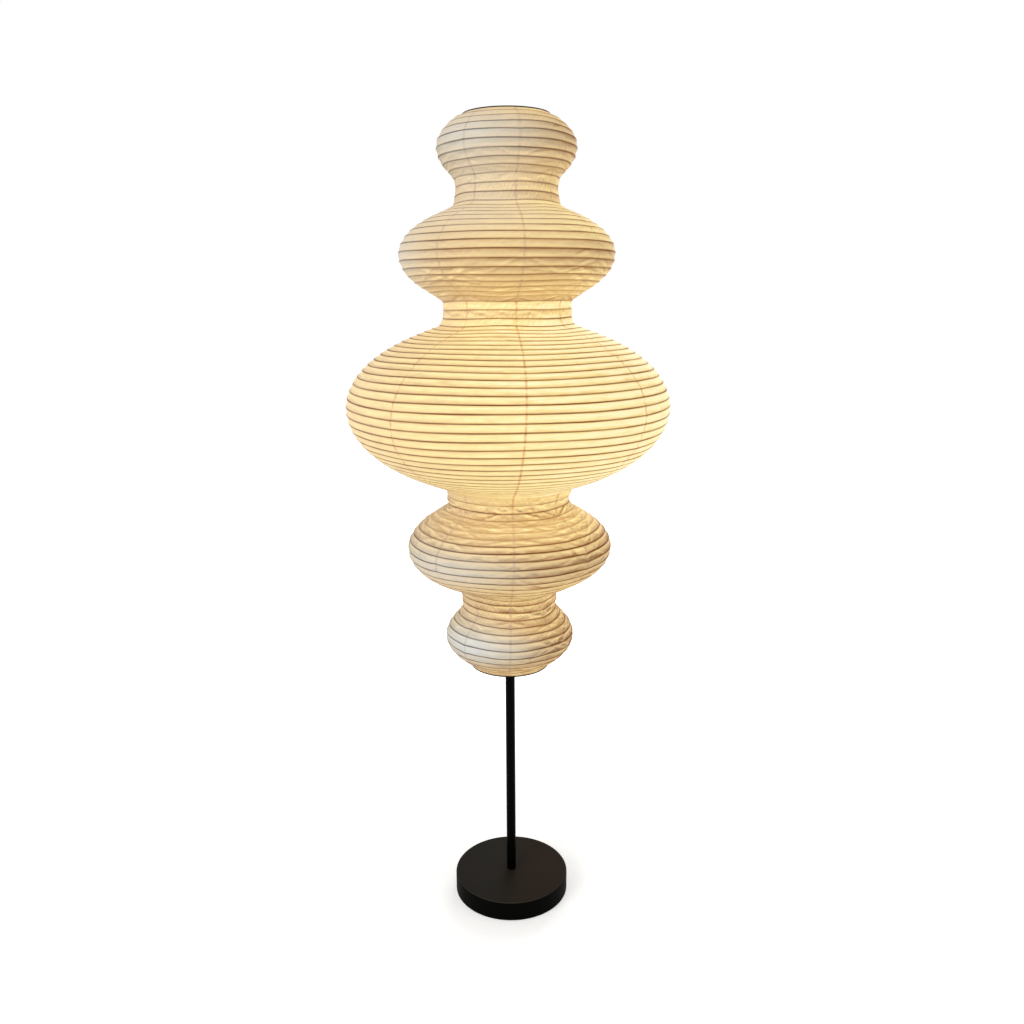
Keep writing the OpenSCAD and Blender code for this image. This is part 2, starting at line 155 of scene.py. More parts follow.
# ---------------------------------------------------------------- finishes
@dataclass(frozen=True)
class PlainFinish:
    """A finish of one colour that varies a little, with grain in its gloss and its surface.

    Attributes:
        name: The material and how its surface was made.
        colour: Its sRGB colour.
        second: The sRGB colour that it drifts towards in blotches.
        grain_mm: Width of one grain of its surface.
        blotch_mm: Width of the blotches of the second colour.
        roughness: Lowest and highest roughness.
        metallic: 1 for bare metal.
        bump_mm: Height of the grain.
        specular: Level of the reflection off a surface that isn't metal.
        stretch: How much denser the grain is along each axis, for drawn and brushed surfaces.
    """

    name: str
    colour: str
    second: str
    grain_mm: float
    blotch_mm: float
    roughness: tuple[float, float]
    metallic: float = 0.0
    bump_mm: float = 0.02
    specular: float = 0.5
    stretch: tuple[float, float, float] = (1.0, 1.0, 1.0)

    def tone(self, tree: bpy.types.NodeTree, blotch: bpy.types.NodeSocket) -> bpy.types.NodeSocket:
        """The colour: the first one, drifting towards the second one in blotches.

        Args:
            tree: The node tree to add to.
            blotch: Noise as wide as the blotches.

        Returns:
            The colour.
        """
        return add(tree, "ShaderNodeMix",
                   {"data_type": "RGBA", 6: linear(self.colour), 7: linear(self.second)},
                   {0: blotch}).outputs[2]

    def material(self) -> bpy.types.Material:
        """Makes the material, or returns the one already made."""
        if self.name in bpy.data.materials:
            return bpy.data.materials[self.name]
        material, tree, shader = new_material(self.name)
        fine = grain(tree, self.grain_mm, 3.0, Vector(self.stretch))
        colour = self.tone(tree, grain(tree, self.blotch_mm))
        gloss = add(tree, "ShaderNodeMapRange", {"To Min": self.roughness[0], "To Max": self.roughness[1]},
                    {"Value": fine})
        bump = add(tree, "ShaderNodeBump", {"Strength": 1.0, "Distance": self.bump_mm / 1000},
                   {"Height": fine})
        tree.links.new(colour, shader.inputs["Base Color"])
        tree.links.new(gloss.outputs[0], shader.inputs["Roughness"])
        tree.links.new(bump.outputs[0], shader.inputs["Normal"])
        shader.inputs["Metallic"].default_value = self.metallic
        shader.inputs["Specular IOR Level"].default_value = self.specular
        return material


@dataclass(frozen=True)
class LampLitCoat(PlainFinish):
    """A dark coat with painted lamplight on what faces up, and a painted highlight on its rounded edge.

    Attributes:
        lit_top: sRGB colour of the top, with the light of the lantern above painted on it.
        bulb_side_top: The same on the bulb's half, towards positive X, where the painted light is warmer.
        edge_highlight: sRGB colour of the painted highlight on the rounded edge.
        wall_to_edge: Z of the unit vector off the surface where the wall ends and where the edge begins.
        edge_to_top: The same where the edge ends and where the top begins.
        bulb_side_border: X in metres where the first painted light ends and where the warmer one begins.
    """

    lit_top: str = "#24211D"
    bulb_side_top: str = "#281E15"
    edge_highlight: str = "#38342D"
    wall_to_edge: tuple[float, float] = (0.45, 0.65)
    edge_to_top: tuple[float, float] = (0.8, 0.95)
    bulb_side_border: tuple[float, float] = (-0.04, 0.05)

    def tone(self, tree: bpy.types.NodeTree, blotch: bpy.types.NodeSocket) -> bpy.types.NodeSocket:
        """By slope: a wall, a painted highlight on the edge and painted lamplight on the top, darker in
        blotches.

        Args:
            tree: The node tree to add to.
            blotch: Noise as wide as the blotches.

        Returns:
            The colour.
        """
        slope = add(tree, "ShaderNodeSeparateXYZ",
                    links={0: add(tree, "ShaderNodeNewGeometry").outputs["Normal"]})
        place = add(tree, "ShaderNodeSeparateXYZ",
                    links={0: add(tree, "ShaderNodeTexCoord").outputs["Object"]})
        half = add(tree, "ShaderNodeMapRange",
                   {"From Min": self.bulb_side_border[0], "From Max": self.bulb_side_border[1]},
                   {"Value": place.outputs[0]})
        # Painted lamplight of the lantern on the top, warmer on the bulb's half
        top_colour = add(tree, "ShaderNodeMix",
                    {"data_type": "RGBA", 6: linear(self.lit_top), 7: linear(self.bulb_side_top)},
                    {0: half.outputs[0]})
        # A painted highlight on the rounded edge, between the wall and the top
        stops = tuple(zip(self.wall_to_edge, (linear(self.colour), linear(self.edge_highlight))))
        standing = add(tree, "ShaderNodeValToRGB", {"stops": stops}, {0: slope.outputs[2]})
        flat = add(tree, "ShaderNodeMapRange",
                   {"From Min": self.edge_to_top[0], "From Max": self.edge_to_top[1]},
                   {"Value": slope.outputs[2]})
        coat = add(tree, "ShaderNodeMix", {"data_type": "RGBA"},
                   {0: flat.outputs[0], 6: standing.outputs[0], 7: top_colour.outputs[2]})
        patchy = add(tree, "ShaderNodeMapRange", {"To Min": 1.2, "To Max": 0.8}, {"Value": blotch})
        return add(tree, "ShaderNodeMix", {"data_type": "RGBA", "blend_type": "MULTIPLY", 0: 1.0},
                   {6: coat.outputs[2], 7: patchy.outputs[0]}).outputs[2]


# Polyester powder coat, sprayed and baked: a matte film with the fine orange-peel of its grains
# Painted lamplight on its top and a painted highlight on its rounded edge
POWDER_COAT = LampLitCoat("matte_black_powder_coat", "#040403", "#040403", grain_mm=0.9, blotch_mm=60,
                         roughness=(0.5, 0.64), bump_mm=0.03, specular=0.02)
# Stoved satin enamel on drawn tube: smoother and a shade glossier than the powder coat
SATIN_ENAMEL = PlainFinish("satin_black_enamel", "#020202", "#030303", grain_mm=0.7, blotch_mm=35,
                           roughness=(0.34, 0.44), bump_mm=0.01, specular=0.02, stretch=(1.0, 1.0, 0.3))
# Electroplated zinc on turned steel: pale, cool, with a dull bloom
ZINC_PLATE = PlainFinish("zinc_plated_steel", "#C3C6CA", "#A9ADB4", grain_mm=0.4, blotch_mm=6,
                         roughness=(0.28, 0.45), metallic=1.0, bump_mm=0.006, stretch=(1.0, 1.0, 6.0))
# The foot of the pole shows at the base, so its zinc is passivated black: matte, with a faint bloom
BLACK_ZINC = PlainFinish("black_passivated_zinc", "#070707", "#0C0B0B", grain_mm=0.4, blotch_mm=6,
                         roughness=(0.4, 0.55), bump_mm=0.006, specular=0.05)
# Oiled spring steel, tempered blue-black
SPRING_STEEL = PlainFinish("tempered_spring_steel", "#5B5E66", "#3E4048", grain_mm=0.5, blotch_mm=4,
                           roughness=(0.3, 0.5), metallic=1.0, bump_mm=0.01)
# Sand-cast grey iron: the grain of the mould sand stands about a tenth of a millimetre proud
CAST_IRON = PlainFinish("sand_cast_iron", "#4B4A49", "#363432", grain_mm=1.1, blotch_mm=22,
                        roughness=(0.6, 0.85), metallic=0.6, bump_mm=0.12)
# Pressed wool felt: soft, fibrous, with no gloss
WOOL_FELT = PlainFinish("pressed_wool_felt", "#35322F", "#45413D", grain_mm=1.4, blotch_mm=9,
                        roughness=(0.9, 1.0), bump_mm=0.3, specular=0.15)
# Moulded rubber of the gland
MOULDED_RUBBER = PlainFinish("moulded_rubber", "#161514", "#201F1D", grain_mm=0.6, blotch_mm=5,
                             roughness=(0.6, 0.75), bump_mm=0.02, specular=0.3)
# Moulded phenolic plastic of the lampholder: hard, black, slightly glossy
PHENOLIC = PlainFinish("moulded_phenolic_plastic", "#100E0C", "#181512", grain_mm=0.8, blotch_mm=7,
                       roughness=(0.3, 0.42), bump_mm=0.01, specular=0.15)
# Glazed porcelain core
PORCELAIN = PlainFinish("glazed_porcelain", "#ECE8DE", "#DFDACD", grain_mm=1.0, blotch_mm=8,
                        roughness=(0.12, 0.22), bump_mm=0.01)
# Stamped brass, slightly tarnished
STAMPED_BRASS = PlainFinish("stamped_brass", "#C9A14A", "#A9823A", grain_mm=0.6, blotch_mm=6,
                            roughness=(0.25, 0.42), metallic=1.0, bump_mm=0.006)
# Black glass of the lamp cap's insulator
BLACK_GLASS = PlainFinish("black_cap_glass", "#0B0A0C", "#141216", grain_mm=1.0, blotch_mm=4,
                          roughness=(0.1, 0.2), bump_mm=0.005)
# Nickel plate on the lamp cap
NICKEL_PLATE = PlainFinish("nickel_plated_brass", "#CFC8BB", "#B8B0A2", grain_mm=0.5, blotch_mm=5,
                           roughness=(0.2, 0.36), metallic=1.0, bump_mm=0.006)
# Moulded plastic neck of the bulb, which spreads the heat of its driver
BULB_PLASTIC = PlainFinish("moulded_white_plastic", "#E9E6DE", "#DDD9CF", grain_mm=0.9, blotch_mm=9,
                           roughness=(0.35, 0.5), bump_mm=0.01)


@dataclass(frozen=True)
class OpalGlobe:
    """Opal plastic globe lit from behind: an even warm white, a little paler and deeper in patches.

    Attributes:
        name: The material and how its surface was made.
        colour: Its sRGB colour unlit.
        light: The sRGB colour of its light.
        strength: Strength of the light.
        cloud_mm: Width of the paler and deeper patches.
    """

    name: str = "blown_opal_plastic"
    colour: str = "#A09A8C"
    light: str = "#FFE2AE"
    strength: float = 0.75
    cloud_mm: float = 14

    def material(self) -> bpy.types.Material:
        """Makes the material."""
        material, tree, shader = new_material(self.name)
        cloud = grain(tree, self.cloud_mm)
        level = add(tree, "ShaderNodeMapRange",
                    {"To Min": 0.9 * self.strength, "To Max": 1.1 * self.strength},
                    {"Value": cloud})
        tree.links.new(level.outputs[0], shader.inputs["Emission Strength"])
        shader.inputs["Base Color"].default_value = linear(self.colour)
        shader.inputs["Emission Color"].default_value = linear(self.light)
        shader.inputs["Roughness"].default_value = 0.3
        return material


@dataclass(frozen=True)
class SheetMasks:
    """What the paper's colour, light and relief are worked out from: sockets that run from 0 to about 1.

    Attributes:
        glow: How much lamplight comes through.
        chill: How much daylight lies on the sheet.
        fold: How far a fold turns the sheet from the lamp.
        lit: 0 in the outer bulges and 1 near the lamp.
        rib: The line that a rib makes.
        shade: The penumbra beside it.
        seam: A glued seam, in dashes.
        glue: The line of glue in it, in the same dashes.
        streak: Streaks of fibre along the ribs.
        fibre: Short fibres.
        thin: Thinness of the sheet, about 1. Where it is thin, more lamplight comes through.
    """

    glow: bpy.types.NodeSocket
    chill: bpy.types.NodeSocket
    fold: bpy.types.NodeSocket
    lit: bpy.types.NodeSocket
    rib: bpy.types.NodeSocket
    shade: bpy.types.NodeSocket
    seam: bpy.types.NodeSocket
    glue: bpy.types.NodeSocket
    streak: bpy.types.NodeSocket
    fibre: bpy.types.NodeSocket
    thin: bpy.types.NodeSocket


@dataclass(frozen=True)
class LanternPaper:
    """Unbleached mulberry paper glued over the ribs, lit from inside.

    Its fibres cloud it, fine streaks run along the ribs, the ribs show through as dark lines with a soft
    penumbra, and the glued seams, which are two sheets thick, show as bands with a thin line of glue. The
    piece's glow, chill and fold attributes say how much lamplight comes through, how much daylight lies on it
    and how far a fold turns it from the lamp.

    Attributes:
        name: The material and how its surface was made.
        warm: sRGB colour of the sheet.
        cool: sRGB colour of the sheet where daylight lies on it.
        rib_tint: sRGB colour that the light takes where a rib stands behind the paper.
        rib_shade: sRGB colour of a rib's painted shadow on the sheet.
        seam_tint: sRGB colour that the light takes through two sheets.
        glue_tint: sRGB colour that the light takes through the line of glue.
        seam_shade: sRGB colour of the doubled sheet in daylight.
        glue_shade: sRGB colour of the line of glue where the lamp lights it.
        painted_shade: sRGB colour of the painted shade beside a rib and in a fold, away from daylight.
        cool_rib: sRGB colour of a rib's line in daylight.
        rib_mm: Width of the line that a rib makes.
        penumbra_mm: Width of the soft shade on each side of it.
        seam_mm: Width of a glued seam.
        glue_mm: Width of the line of glue in it.
        gores: Number of seams round the lantern.
        cloud_mm: Width of a clump of fibre.
        fibre_mm: Width of the short fibres, as coarse as shows.
        streaks: How many streaks of fibre come to a metre across, a metre deep and a bay up, each of about
            40 mm by 3 mm.
        gaps: The same for the stretches where the ribs show less.
        dashes: The same for the dashes that the seams come and go in.
        rib_least: How much of a rib's line is left where it shows least.
        dash_least: How much of a seam is left between its dashes.
        rib_edge: Where a rib's line begins to fade and where it is gone, as shares of its width.
        seam_edge: The same for a seam.
        glue_edge: The same for the line of glue.
        rib_cover: How far a rib's line covers the sheet.
        seam_cover: How far a seam covers it.
        shade_depth: Share of the lamplight that the penumbra takes.
        fold_depth: How strongly a fold counts in the painted shade, against the penumbra beside a rib.
        thinness: How much the clumps, the streaks and the short fibres add to the thinness, and its rest.
        wear: How much of the thinness shows in the sheet's colour.
        relief_mm: Height of the short fibres.
        streak_relief: Height of the streaks against that of the short fibres.
        seam_relief: Height of a seam against it.
        roughness: Roughness of the sheet.
        specular: Level of its reflection.
        lamplight: Linear colours of the light that comes through, in steps of a quarter of the glow.
    """

    name: str = "mulberry_paper_lit_from_inside"
    warm: str = "#BBA681"
    cool: str = "#E0E2DE"
    rib_tint: str = "#7A3C08"
    rib_shade: str = "#3A230A"
    seam_tint: str = "#EAC8AA"
    glue_tint: str = "#CCAC90"
    seam_shade: str = "#A9A69E"
    glue_shade: str = "#A9835C"
    painted_shade: str = "#A86A2C"
    cool_rib: str = "#575550"
    rib_mm: float = 2.6
    penumbra_mm: float = 4.6
    seam_mm: float = 4.6
    glue_mm: float = 1.3
    gores: int = 8
    cloud_mm: float = 16
    fibre_mm: float = 2.4
    streaks: tuple[float, float, float] = (24.0, 24.0, 5.5)
    gaps: tuple[float, float, float] = (9.0, 9.0, 0.9)
    dashes: tuple[float, float, float] = (3.0, 3.0, 1.7)
    rib_least: float = 0.7
    dash_least: float = 0.25
    rib_edge: tuple[float, float] = (0.22, 0.75)
    seam_edge: tuple[float, float] = (0.35, 0.65)
    glue_edge: tuple[float, float] = (0.2, 0.8)
    rib_cover: float = 0.92
    seam_cover: float = 0.5
    shade_depth: float = 0.22
    fold_depth: float = 0.65
    thinness: tuple[float, float, float, float] = (0.16, 0.65, 0.22, 0.485)
    wear: float = 0.3
    relief_mm: float = 0.45
    streak_relief: float = 0.8
    seam_relief: float = 0.7
    roughness: float = 0.72
    specular: float = 0.3
    lamplight: tuple[tuple[float, float, float], ...] = (
        (0.0, 0.0, 0.0), (0.20, 0.122, 0.042), (0.355, 0.232, 0.082),
        (0.49, 0.355, 0.125), (0.64, 0.52, 0.20), (0.72, 0.64, 0.37))

    def line(self, tree: bpy.types.NodeTree, distance: bpy.types.NodeSocket, width: float,
             edge: tuple[float, float]) -> bpy.types.NodeSocket:
        """A mask that is 1 in the middle of a line and falls smoothly to 0 past its edge.

        Args:
            tree: The node tree to add to.
            distance: Distance from the middle of the line, in millimetres.
            width: Width of the line, in millimetres.
            edge: Up to where the mask is 1 and from where it is 0, as shares of the width.

        Returns:
            The mask.
        """
        return add(tree, "ShaderNodeMapRange",
                   {"interpolation_type": "SMOOTHSTEP", "From Min": edge[0] * width,
                    "From Max": edge[1] * width, "To Min": 1.0, "To Max": 0.0},
                   {"Value": distance}).outputs[0]

    def distances(self, tree: bpy.types.NodeTree) -> tuple[bpy.types.NodeSocket, bpy.types.NodeSocket,
                                                            bpy.types.NodeSocket]:
        """Distances to the nearest rib and seam, from the map whose U counts seams and V counts ribs.

        The distance to the nearest rib is the distance of V from a whole number times a bay, and that to
        the nearest seam is the distance of U from a whole number times an eighth of the way round.

        Args:
            tree: The node tree to add to.

        Returns:
            The distance to the rib and to the seam in millimetres, and a vector of X and Y in metres and of
            height in ribs.
        """
        uv = add(tree, "ShaderNodeSeparateXYZ",
                 links={0: add(tree, "ShaderNodeUVMap", {"uv_map": UV_NAME}).outputs[0]})
        place = add(tree, "ShaderNodeSeparateXYZ",
                    links={0: add(tree, "ShaderNodeTexCoord").outputs["Object"]})
        flat = add(tree, "ShaderNodeCombineXYZ", links={0: place.outputs[0], 1: place.outputs[1]})
        radius = add(tree, "ShaderNodeVectorMath", {"operation": "LENGTH"}, {0: flat.outputs[0]})
        along = add(tree, "ShaderNodeCombineXYZ",
                    links={0: place.outputs[0], 1: place.outputs[1], 2: uv.outputs[1]})
        off_rib = add(tree, "ShaderNodeMath", {"operation": "PINGPONG", 1: 0.5}, {0: uv.outputs[1]})
        rib_mm = add(tree, "ShaderNodeMath", {"operation": "MULTIPLY", 1: 1000 * BAY},
                     {0: off_rib.outputs[0]})
        off_seam = add(tree, "ShaderNodeMath", {"operation": "PINGPONG", 1: 0.5}, {0: uv.outputs[0]})
        gore_mm = add(tree, "ShaderNodeMath", {"operation": "MULTIPLY", 1: 2000 * math.pi / self.gores},
                      {0: radius.outputs["Value"]})
        seam_mm = add(tree, "ShaderNodeMath", {"operation": "MULTIPLY"},
                      {0: off_seam.outputs[0], 1: gore_mm.outputs[0]})
        return rib_mm.outputs[0], seam_mm.outputs[0], along.outputs[0]

    def masks(self, tree: bpy.types.NodeTree) -> SheetMasks:
        """Makes the masks. Ribs show more here and less there, and the seams come and go from bay to bay.

        Thinness is a sum of three noises and a rest. Noise seldom strays far from 0.5, so the noise for the
        ribs and the one for the seams are stretched from a range round that.

        Args:
            tree: The node tree to add to.

        Returns:
            The masks.
        """
        rib_mm, seam_mm, along = self.distances(tree)
        glow, chill, fold, shown = (add(tree, "ShaderNodeAttribute", {"attribute_name": name}).outputs[2]
                                    for name in ("glow", "chill", "fold", "rib_show"))
        strength = add(tree, "ShaderNodeMapRange",
                       {"From Min": 0.3, "From Max": 0.7, "To Min": self.rib_least, "To Max": 1.0},
                       {"Value": grain(tree, 1000, 1.0, Vector(self.gaps), along)})
        some = add(tree, "ShaderNodeMath", {"operation": "MULTIPLY"}, {0: strength.outputs[0], 1: shown})
        rib = add(tree, "ShaderNodeMath", {"operation": "MULTIPLY"},
                  {0: self.line(tree, rib_mm, self.rib_mm, self.rib_edge), 1: some.outputs[0]})
        shade = add(tree, "ShaderNodeMath", {"operation": "MULTIPLY"},
                    {0: self.line(tree, rib_mm, self.penumbra_mm, (0.0, 1.0)), 1: some.outputs[0]})
        broken = add(tree, "ShaderNodeMapRange",
                     {"From Min": 0.35, "From Max": 0.65, "To Min": self.dash_least, "To Max": 1.0},
                     {"Value": grain(tree, 1000, 1.0, Vector(self.dashes), along)})
        seam = add(tree, "ShaderNodeMath", {"operation": "MULTIPLY"},
                   {0: self.line(tree, seam_mm, self.seam_mm, self.seam_edge), 1: broken.outputs[0]})
        glue = add(tree, "ShaderNodeMath", {"operation": "MULTIPLY"},
                   {0: self.line(tree, seam_mm, self.glue_mm, self.glue_edge), 1: broken.outputs[0]})
        lit = add(tree, "ShaderNodeMath", {"operation": "MULTIPLY_ADD", "use_clamp": True, 1: 2.5, 2: -1.35},
                  {0: glow})                                     # 0 up to a glow of 0.54, 1 from 0.94

        streak = grain(tree, 1000, 2.0, Vector(self.streaks), along)
        fibre = grain(tree, self.fibre_mm, 2.0)
        cloud_share, streak_share, fibre_share, rest = self.thinness
        clouds = add(tree, "ShaderNodeMath", {"operation": "MULTIPLY_ADD", 1: cloud_share, 2: rest},
                     {0: grain(tree, self.cloud_mm, 3.0)})
        streaks = add(tree, "ShaderNodeMath", {"operation": "MULTIPLY_ADD", 1: streak_share},
                      {0: streak, 2: clouds.outputs[0]})
        thin = add(tree, "ShaderNodeMath", {"operation": "MULTIPLY_ADD", 1: fibre_share},
                   {0: fibre, 2: streaks.outputs[0]})
        return SheetMasks(glow, chill, fold, lit.outputs[0], rib.outputs[0], shade.outputs[0],
                          seam.outputs[0], glue.outputs[0], streak, fibre, thin.outputs[0])

    def colour(self, tree: bpy.types.NodeTree, masks: SheetMasks) -> bpy.types.NodeSocket:
        """Colour of the sheet: painted shade beside a rib and in a fold, and the seams and the ribs over it.

        Args:
            tree: The node tree to add to.
            masks: The masks.

        Returns:
            The colour.
        """
        sheet = add(tree, "ShaderNodeMix", {"data_type": "RGBA", 6: linear(self.warm), 7: linear(self.cool)},
                    {0: masks.chill})
        dusk = add(tree, "ShaderNodeMath", {"operation": "MULTIPLY_ADD", "use_clamp": True, 1: -2.4, 2: 0.8},
                   {0: masks.chill})                             # 0.8 out of daylight, 0 from 0.33 on
        # Painted shade: browner beside a rib and in a fold, none where daylight lies
        folded = add(tree, "ShaderNodeMath", {"operation": "MULTIPLY_ADD", 1: self.fold_depth},
                     {0: masks.fold, 2: masks.shade})
        spread = add(tree, "ShaderNodeMath", {"operation": "MULTIPLY", "use_clamp": True},
                     {0: folded.outputs[0], 1: dusk.outputs[0]})
        shaded_sheet = add(tree, "ShaderNodeMix", {"data_type": "RGBA", 7: linear(self.painted_shade)},
                     {0: spread.outputs[0], 6: sheet.outputs[2]})

        # In daylight a seam is a band, and in lamplight a line of glue in a band half as strong
        seam_colour = add(tree, "ShaderNodeMix", {"data_type": "RGBA", 6: linear(self.seam_shade),
                                                  7: linear(self.glue_shade)}, {0: masks.lit})
        faint_band = add(tree, "ShaderNodeMath", {"operation": "MULTIPLY", 1: 0.5}, {0: masks.seam})
        line_or_band = add(tree, "ShaderNodeMath", {"operation": "MAXIMUM"},
                           {0: masks.glue, 1: faint_band.outputs[0]})
        seam = add(tree, "ShaderNodeMix", {"data_type": "FLOAT"}, {0: masks.lit, 2: masks.seam,
                                                                   3: line_or_band.outputs[0]})
        seam_cover = add(tree, "ShaderNodeMath", {"operation": "MULTIPLY", 1: self.seam_cover},
                         {0: seam.outputs[0]})
        seamed = add(tree, "ShaderNodeMix", {"data_type": "RGBA"},
                     {0: seam_cover.outputs[0], 6: shaded_sheet.outputs[2], 7: seam_colour.outputs[2]})

        # A rib's line is its painted shadow on the sheet, greyer in daylight
        rib_colour = add(tree, "ShaderNodeMix", {"data_type": "RGBA", 6: linear(self.rib_shade),
                                                 7: linear(self.cool_rib)}, {0: masks.chill})
        rib_cover = add(tree, "ShaderNodeMath", {"operation": "MULTIPLY", 1: self.rib_cover}, {0: masks.rib})
        ribbed = add(tree, "ShaderNodeMix", {"data_type": "RGBA"},
                     {0: rib_cover.outputs[0], 6: seamed.outputs[2], 7: rib_colour.outputs[2]})
        worn = add(tree, "ShaderNodeMath", {"operation": "MULTIPLY_ADD", 1: self.wear, 2: 1 - self.wear},
                   {0: masks.thin})
        return add(tree, "ShaderNodeMix", {"data_type": "RGBA", "blend_type": "MULTIPLY", 0: 1.0},
                   {6: ribbed.outputs[2], 7: worn.outputs[0]}).outputs[2]

    def light(self, tree: bpy.types.NodeTree, masks: SheetMasks) -> bpy.types.NodeSocket:
        """Lamplight through the sheet: deep orange where it is weak and pale yellow where it is strong.

        Ribs, doubled sheets and glue each tint it on top.

        Args:
            tree: The node tree to add to.
            masks: The masks.

        Returns:
            The light's colour.
        """
        past_rib = add(tree, "ShaderNodeMath", {"operation": "MULTIPLY_ADD", 1: -self.shade_depth, 2: 1.0},
                       {0: masks.shade})
        clear = add(tree, "ShaderNodeMath", {"operation": "MULTIPLY"},
                    {0: past_rib.outputs[0], 1: masks.thin})
        level = add(tree, "ShaderNodeMath", {"operation": "MULTIPLY"}, {0: clear.outputs[0], 1: masks.glow})
        steps = len(self.lamplight) - 1
        scaled = add(tree, "ShaderNodeMath", {"operation": "MULTIPLY", 1: 4 / steps}, {0: level.outputs[0]})
        stops = tuple((place / steps, (*colour, 1.0)) for place, colour in enumerate(self.lamplight))
        light = add(tree, "ShaderNodeValToRGB", {"stops": stops}, {0: scaled.outputs[0]})
        glue_lit = add(tree, "ShaderNodeMath", {"operation": "MULTIPLY"}, {0: masks.glue, 1: masks.lit})
        tinted = light.outputs[0]
        for mask, tint in ((masks.rib, self.rib_tint), (masks.seam, self.seam_tint),
                           (glue_lit.outputs[0], self.glue_tint)):
            tinted = add(tree, "ShaderNodeMix",
                         {"data_type": "RGBA", "blend_type": "MULTIPLY", 7: linear(tint)},
                         {0: mask, 6: tinted}).outputs[2]
        return tinted

    def material(self) -> bpy.types.Material:
        """Makes the material, or returns the one already made."""
        if self.name in bpy.data.materials:
            return bpy.data.materials[self.name]
        material, tree, shader = new_material(self.name)
        masks = self.masks(tree)
        tree.links.new(self.colour(tree, masks), shader.inputs["Base Color"])
        tree.links.new(self.light(tree, masks), shader.inputs["Emission Color"])
        shader.inputs["Emission Strength"].default_value = 1.0
        relief = add(tree, "ShaderNodeMath", {"operation": "MULTIPLY_ADD", 1: self.streak_relief},
                     {0: masks.streak, 2: masks.fibre})
        ridge = add(tree, "ShaderNodeMath", {"operation": "MULTIPLY_ADD", 1: self.seam_relief},
                    {0: masks.seam, 2: relief.outputs[0]})
        bump = add(tree, "ShaderNodeBump", {"Strength": 1.0, "Distance": self.relief_mm / 1000},
                   {"Height": ridge.outputs[0]})
        tree.links.new(bump.outputs[0], shader.inputs["Normal"])
        shader.inputs["Roughness"].default_value = self.roughness
        shader.inputs["Specular IOR Level"].default_value = self.specular
        material.cycles.emission_sampling = "NONE"
        return material


@dataclass(frozen=True)
class BambooRib:
    """Split and shaved bamboo: long fibres along the rib, brown where the lamp behind it is hidden.

    Attributes:
        name: The material and how its surface was made.
        dark: sRGB colour of its darker fibres.
        pale: sRGB colour of its paler ones.
        fibre_mm: Length of the bundles of fibre along a rib.
        stretch: How much denser they are along each axis.
        bump_mm: Height of the fibres.
    """

    name: str = "split_bamboo"
    dark: str = "#7A5C38"
    pale: str = "#A98755"
    fibre_mm: float = 3
    stretch: tuple[float, float, float] = (1.0, 1.0, 9.0)
    bump_mm: float = 0.1

    def material(self) -> bpy.types.Material:
        """Makes the material, or returns the one already made."""
        if self.name in bpy.data.materials:
            return bpy.data.materials[self.name]
        material, tree, shader = new_material(self.name)
        fibre = grain(tree, self.fibre_mm, 3.0, Vector(self.stretch))
        colour = add(tree, "ShaderNodeMix", {"data_type": "RGBA", 6: linear(self.dark), 7: linear(self.pale)},
                     {0: fibre})
        bump = add(tree, "ShaderNodeBump", {"Strength": 1.0, "Distance": self.bump_mm / 1000},
                   {"Height": fibre})
        tree.links.new(colour.outputs[2], shader.inputs["Base Color"])
        tree.links.new(bump.outputs[0], shader.inputs["Normal"])
        shader.inputs["Roughness"].default_value = 0.55
        return material


# ---------------------------------------------------------------- shapes
def loft(name: str, rings: np.ndarray, per_vertex: Optional[dict[str, np.ndarray]] = None,
         rows: Optional[np.ndarray] = None, turns: float = 1.0) -> bpy.types.Object:
    """Joins closed rings into a closed skin, the last ring to the first one again.

    Args:
        name: The piece's name.
        rings: Points in metres, as sets of rings: set, ring, place round, and x, y and z. Each set is closed
            on its own, and round a ring the points run anticlockwise seen from above.
        per_vertex: Numbers to keep as attributes, by name, in the shape of the rings.
        rows: The V of each ring, for the map. Without it there is no map.
        turns: The U that once round comes to.

    Returns:
        The new object, linked to the scene.
    """
    sets, count, around, _ = rings.shape
    index = np.arange(sets * count * around).reshape(sets, count, around)
    above = np.roll(index, -1, axis=1)
    quads = np.stack([index, np.roll(index, -1, axis=2), np.roll(above, -1, axis=2), above], axis=-1)
    mesh = bpy.data.meshes.new(name)
    mesh.vertices.add(index.size)
    mesh.vertices.foreach_set("co", rings.astype(np.float32).ravel())
    mesh.loops.add(quads.size)
    mesh.loops.foreach_set("vertex_index", quads.astype(np.int32).ravel())
    mesh.polygons.add(quads.size // 4)
    mesh.polygons.foreach_set("loop_start", np.arange(0, quads.size, 4, dtype=np.int32))
    mesh.update(calc_edges=True)
    mesh.polygons.foreach_set("use_smooth", np.ones(quads.size // 4, bool))
    if rows is not None:
        u = np.broadcast_to(np.arange(around) * turns / around, (sets, count, around))
        v = np.broadcast_to(rows[None, :, None], (sets, count, around))
        v_above = np.roll(v, -1, axis=1)
        step = turns / around
        corners = np.stack([u, v, u + step, v, u + step, v_above, u, v_above], axis=-1)
        mesh.uv_layers.new(name=UV_NAME).data.foreach_set("uv", corners.astype(np.float32).ravel())
    for key, values in (per_vertex or {}).items():
        attribute = mesh.attributes.new(key, "FLOAT", "POINT")
        attribute.data.foreach_set("value", values.astype(np.float32).ravel())
    mesh.set_sharp_from_angle(angle=math.radians(SHARP_DEGREES))
    piece = bpy.data.objects.new(name, mesh)
    bpy.context.scene.collection.objects.link(piece)
    return piece


def slopes_out(points: np.ndarray) -> np.ndarray:
    """Unit vectors out of a wall: the cross product of the steps to the next point round it and up it.

    Args:
        points: Points in metres, by row and turn. Each row closes on itself.

    Returns:
        The unit vectors, by row and turn.
    """
    out = np.cross(np.roll(points, -1, axis=1) - np.roll(points, 1, axis=1), np.gradient(points, axis=0))
    return out / np.linalg.norm(out, axis=-1, keepdims=True)


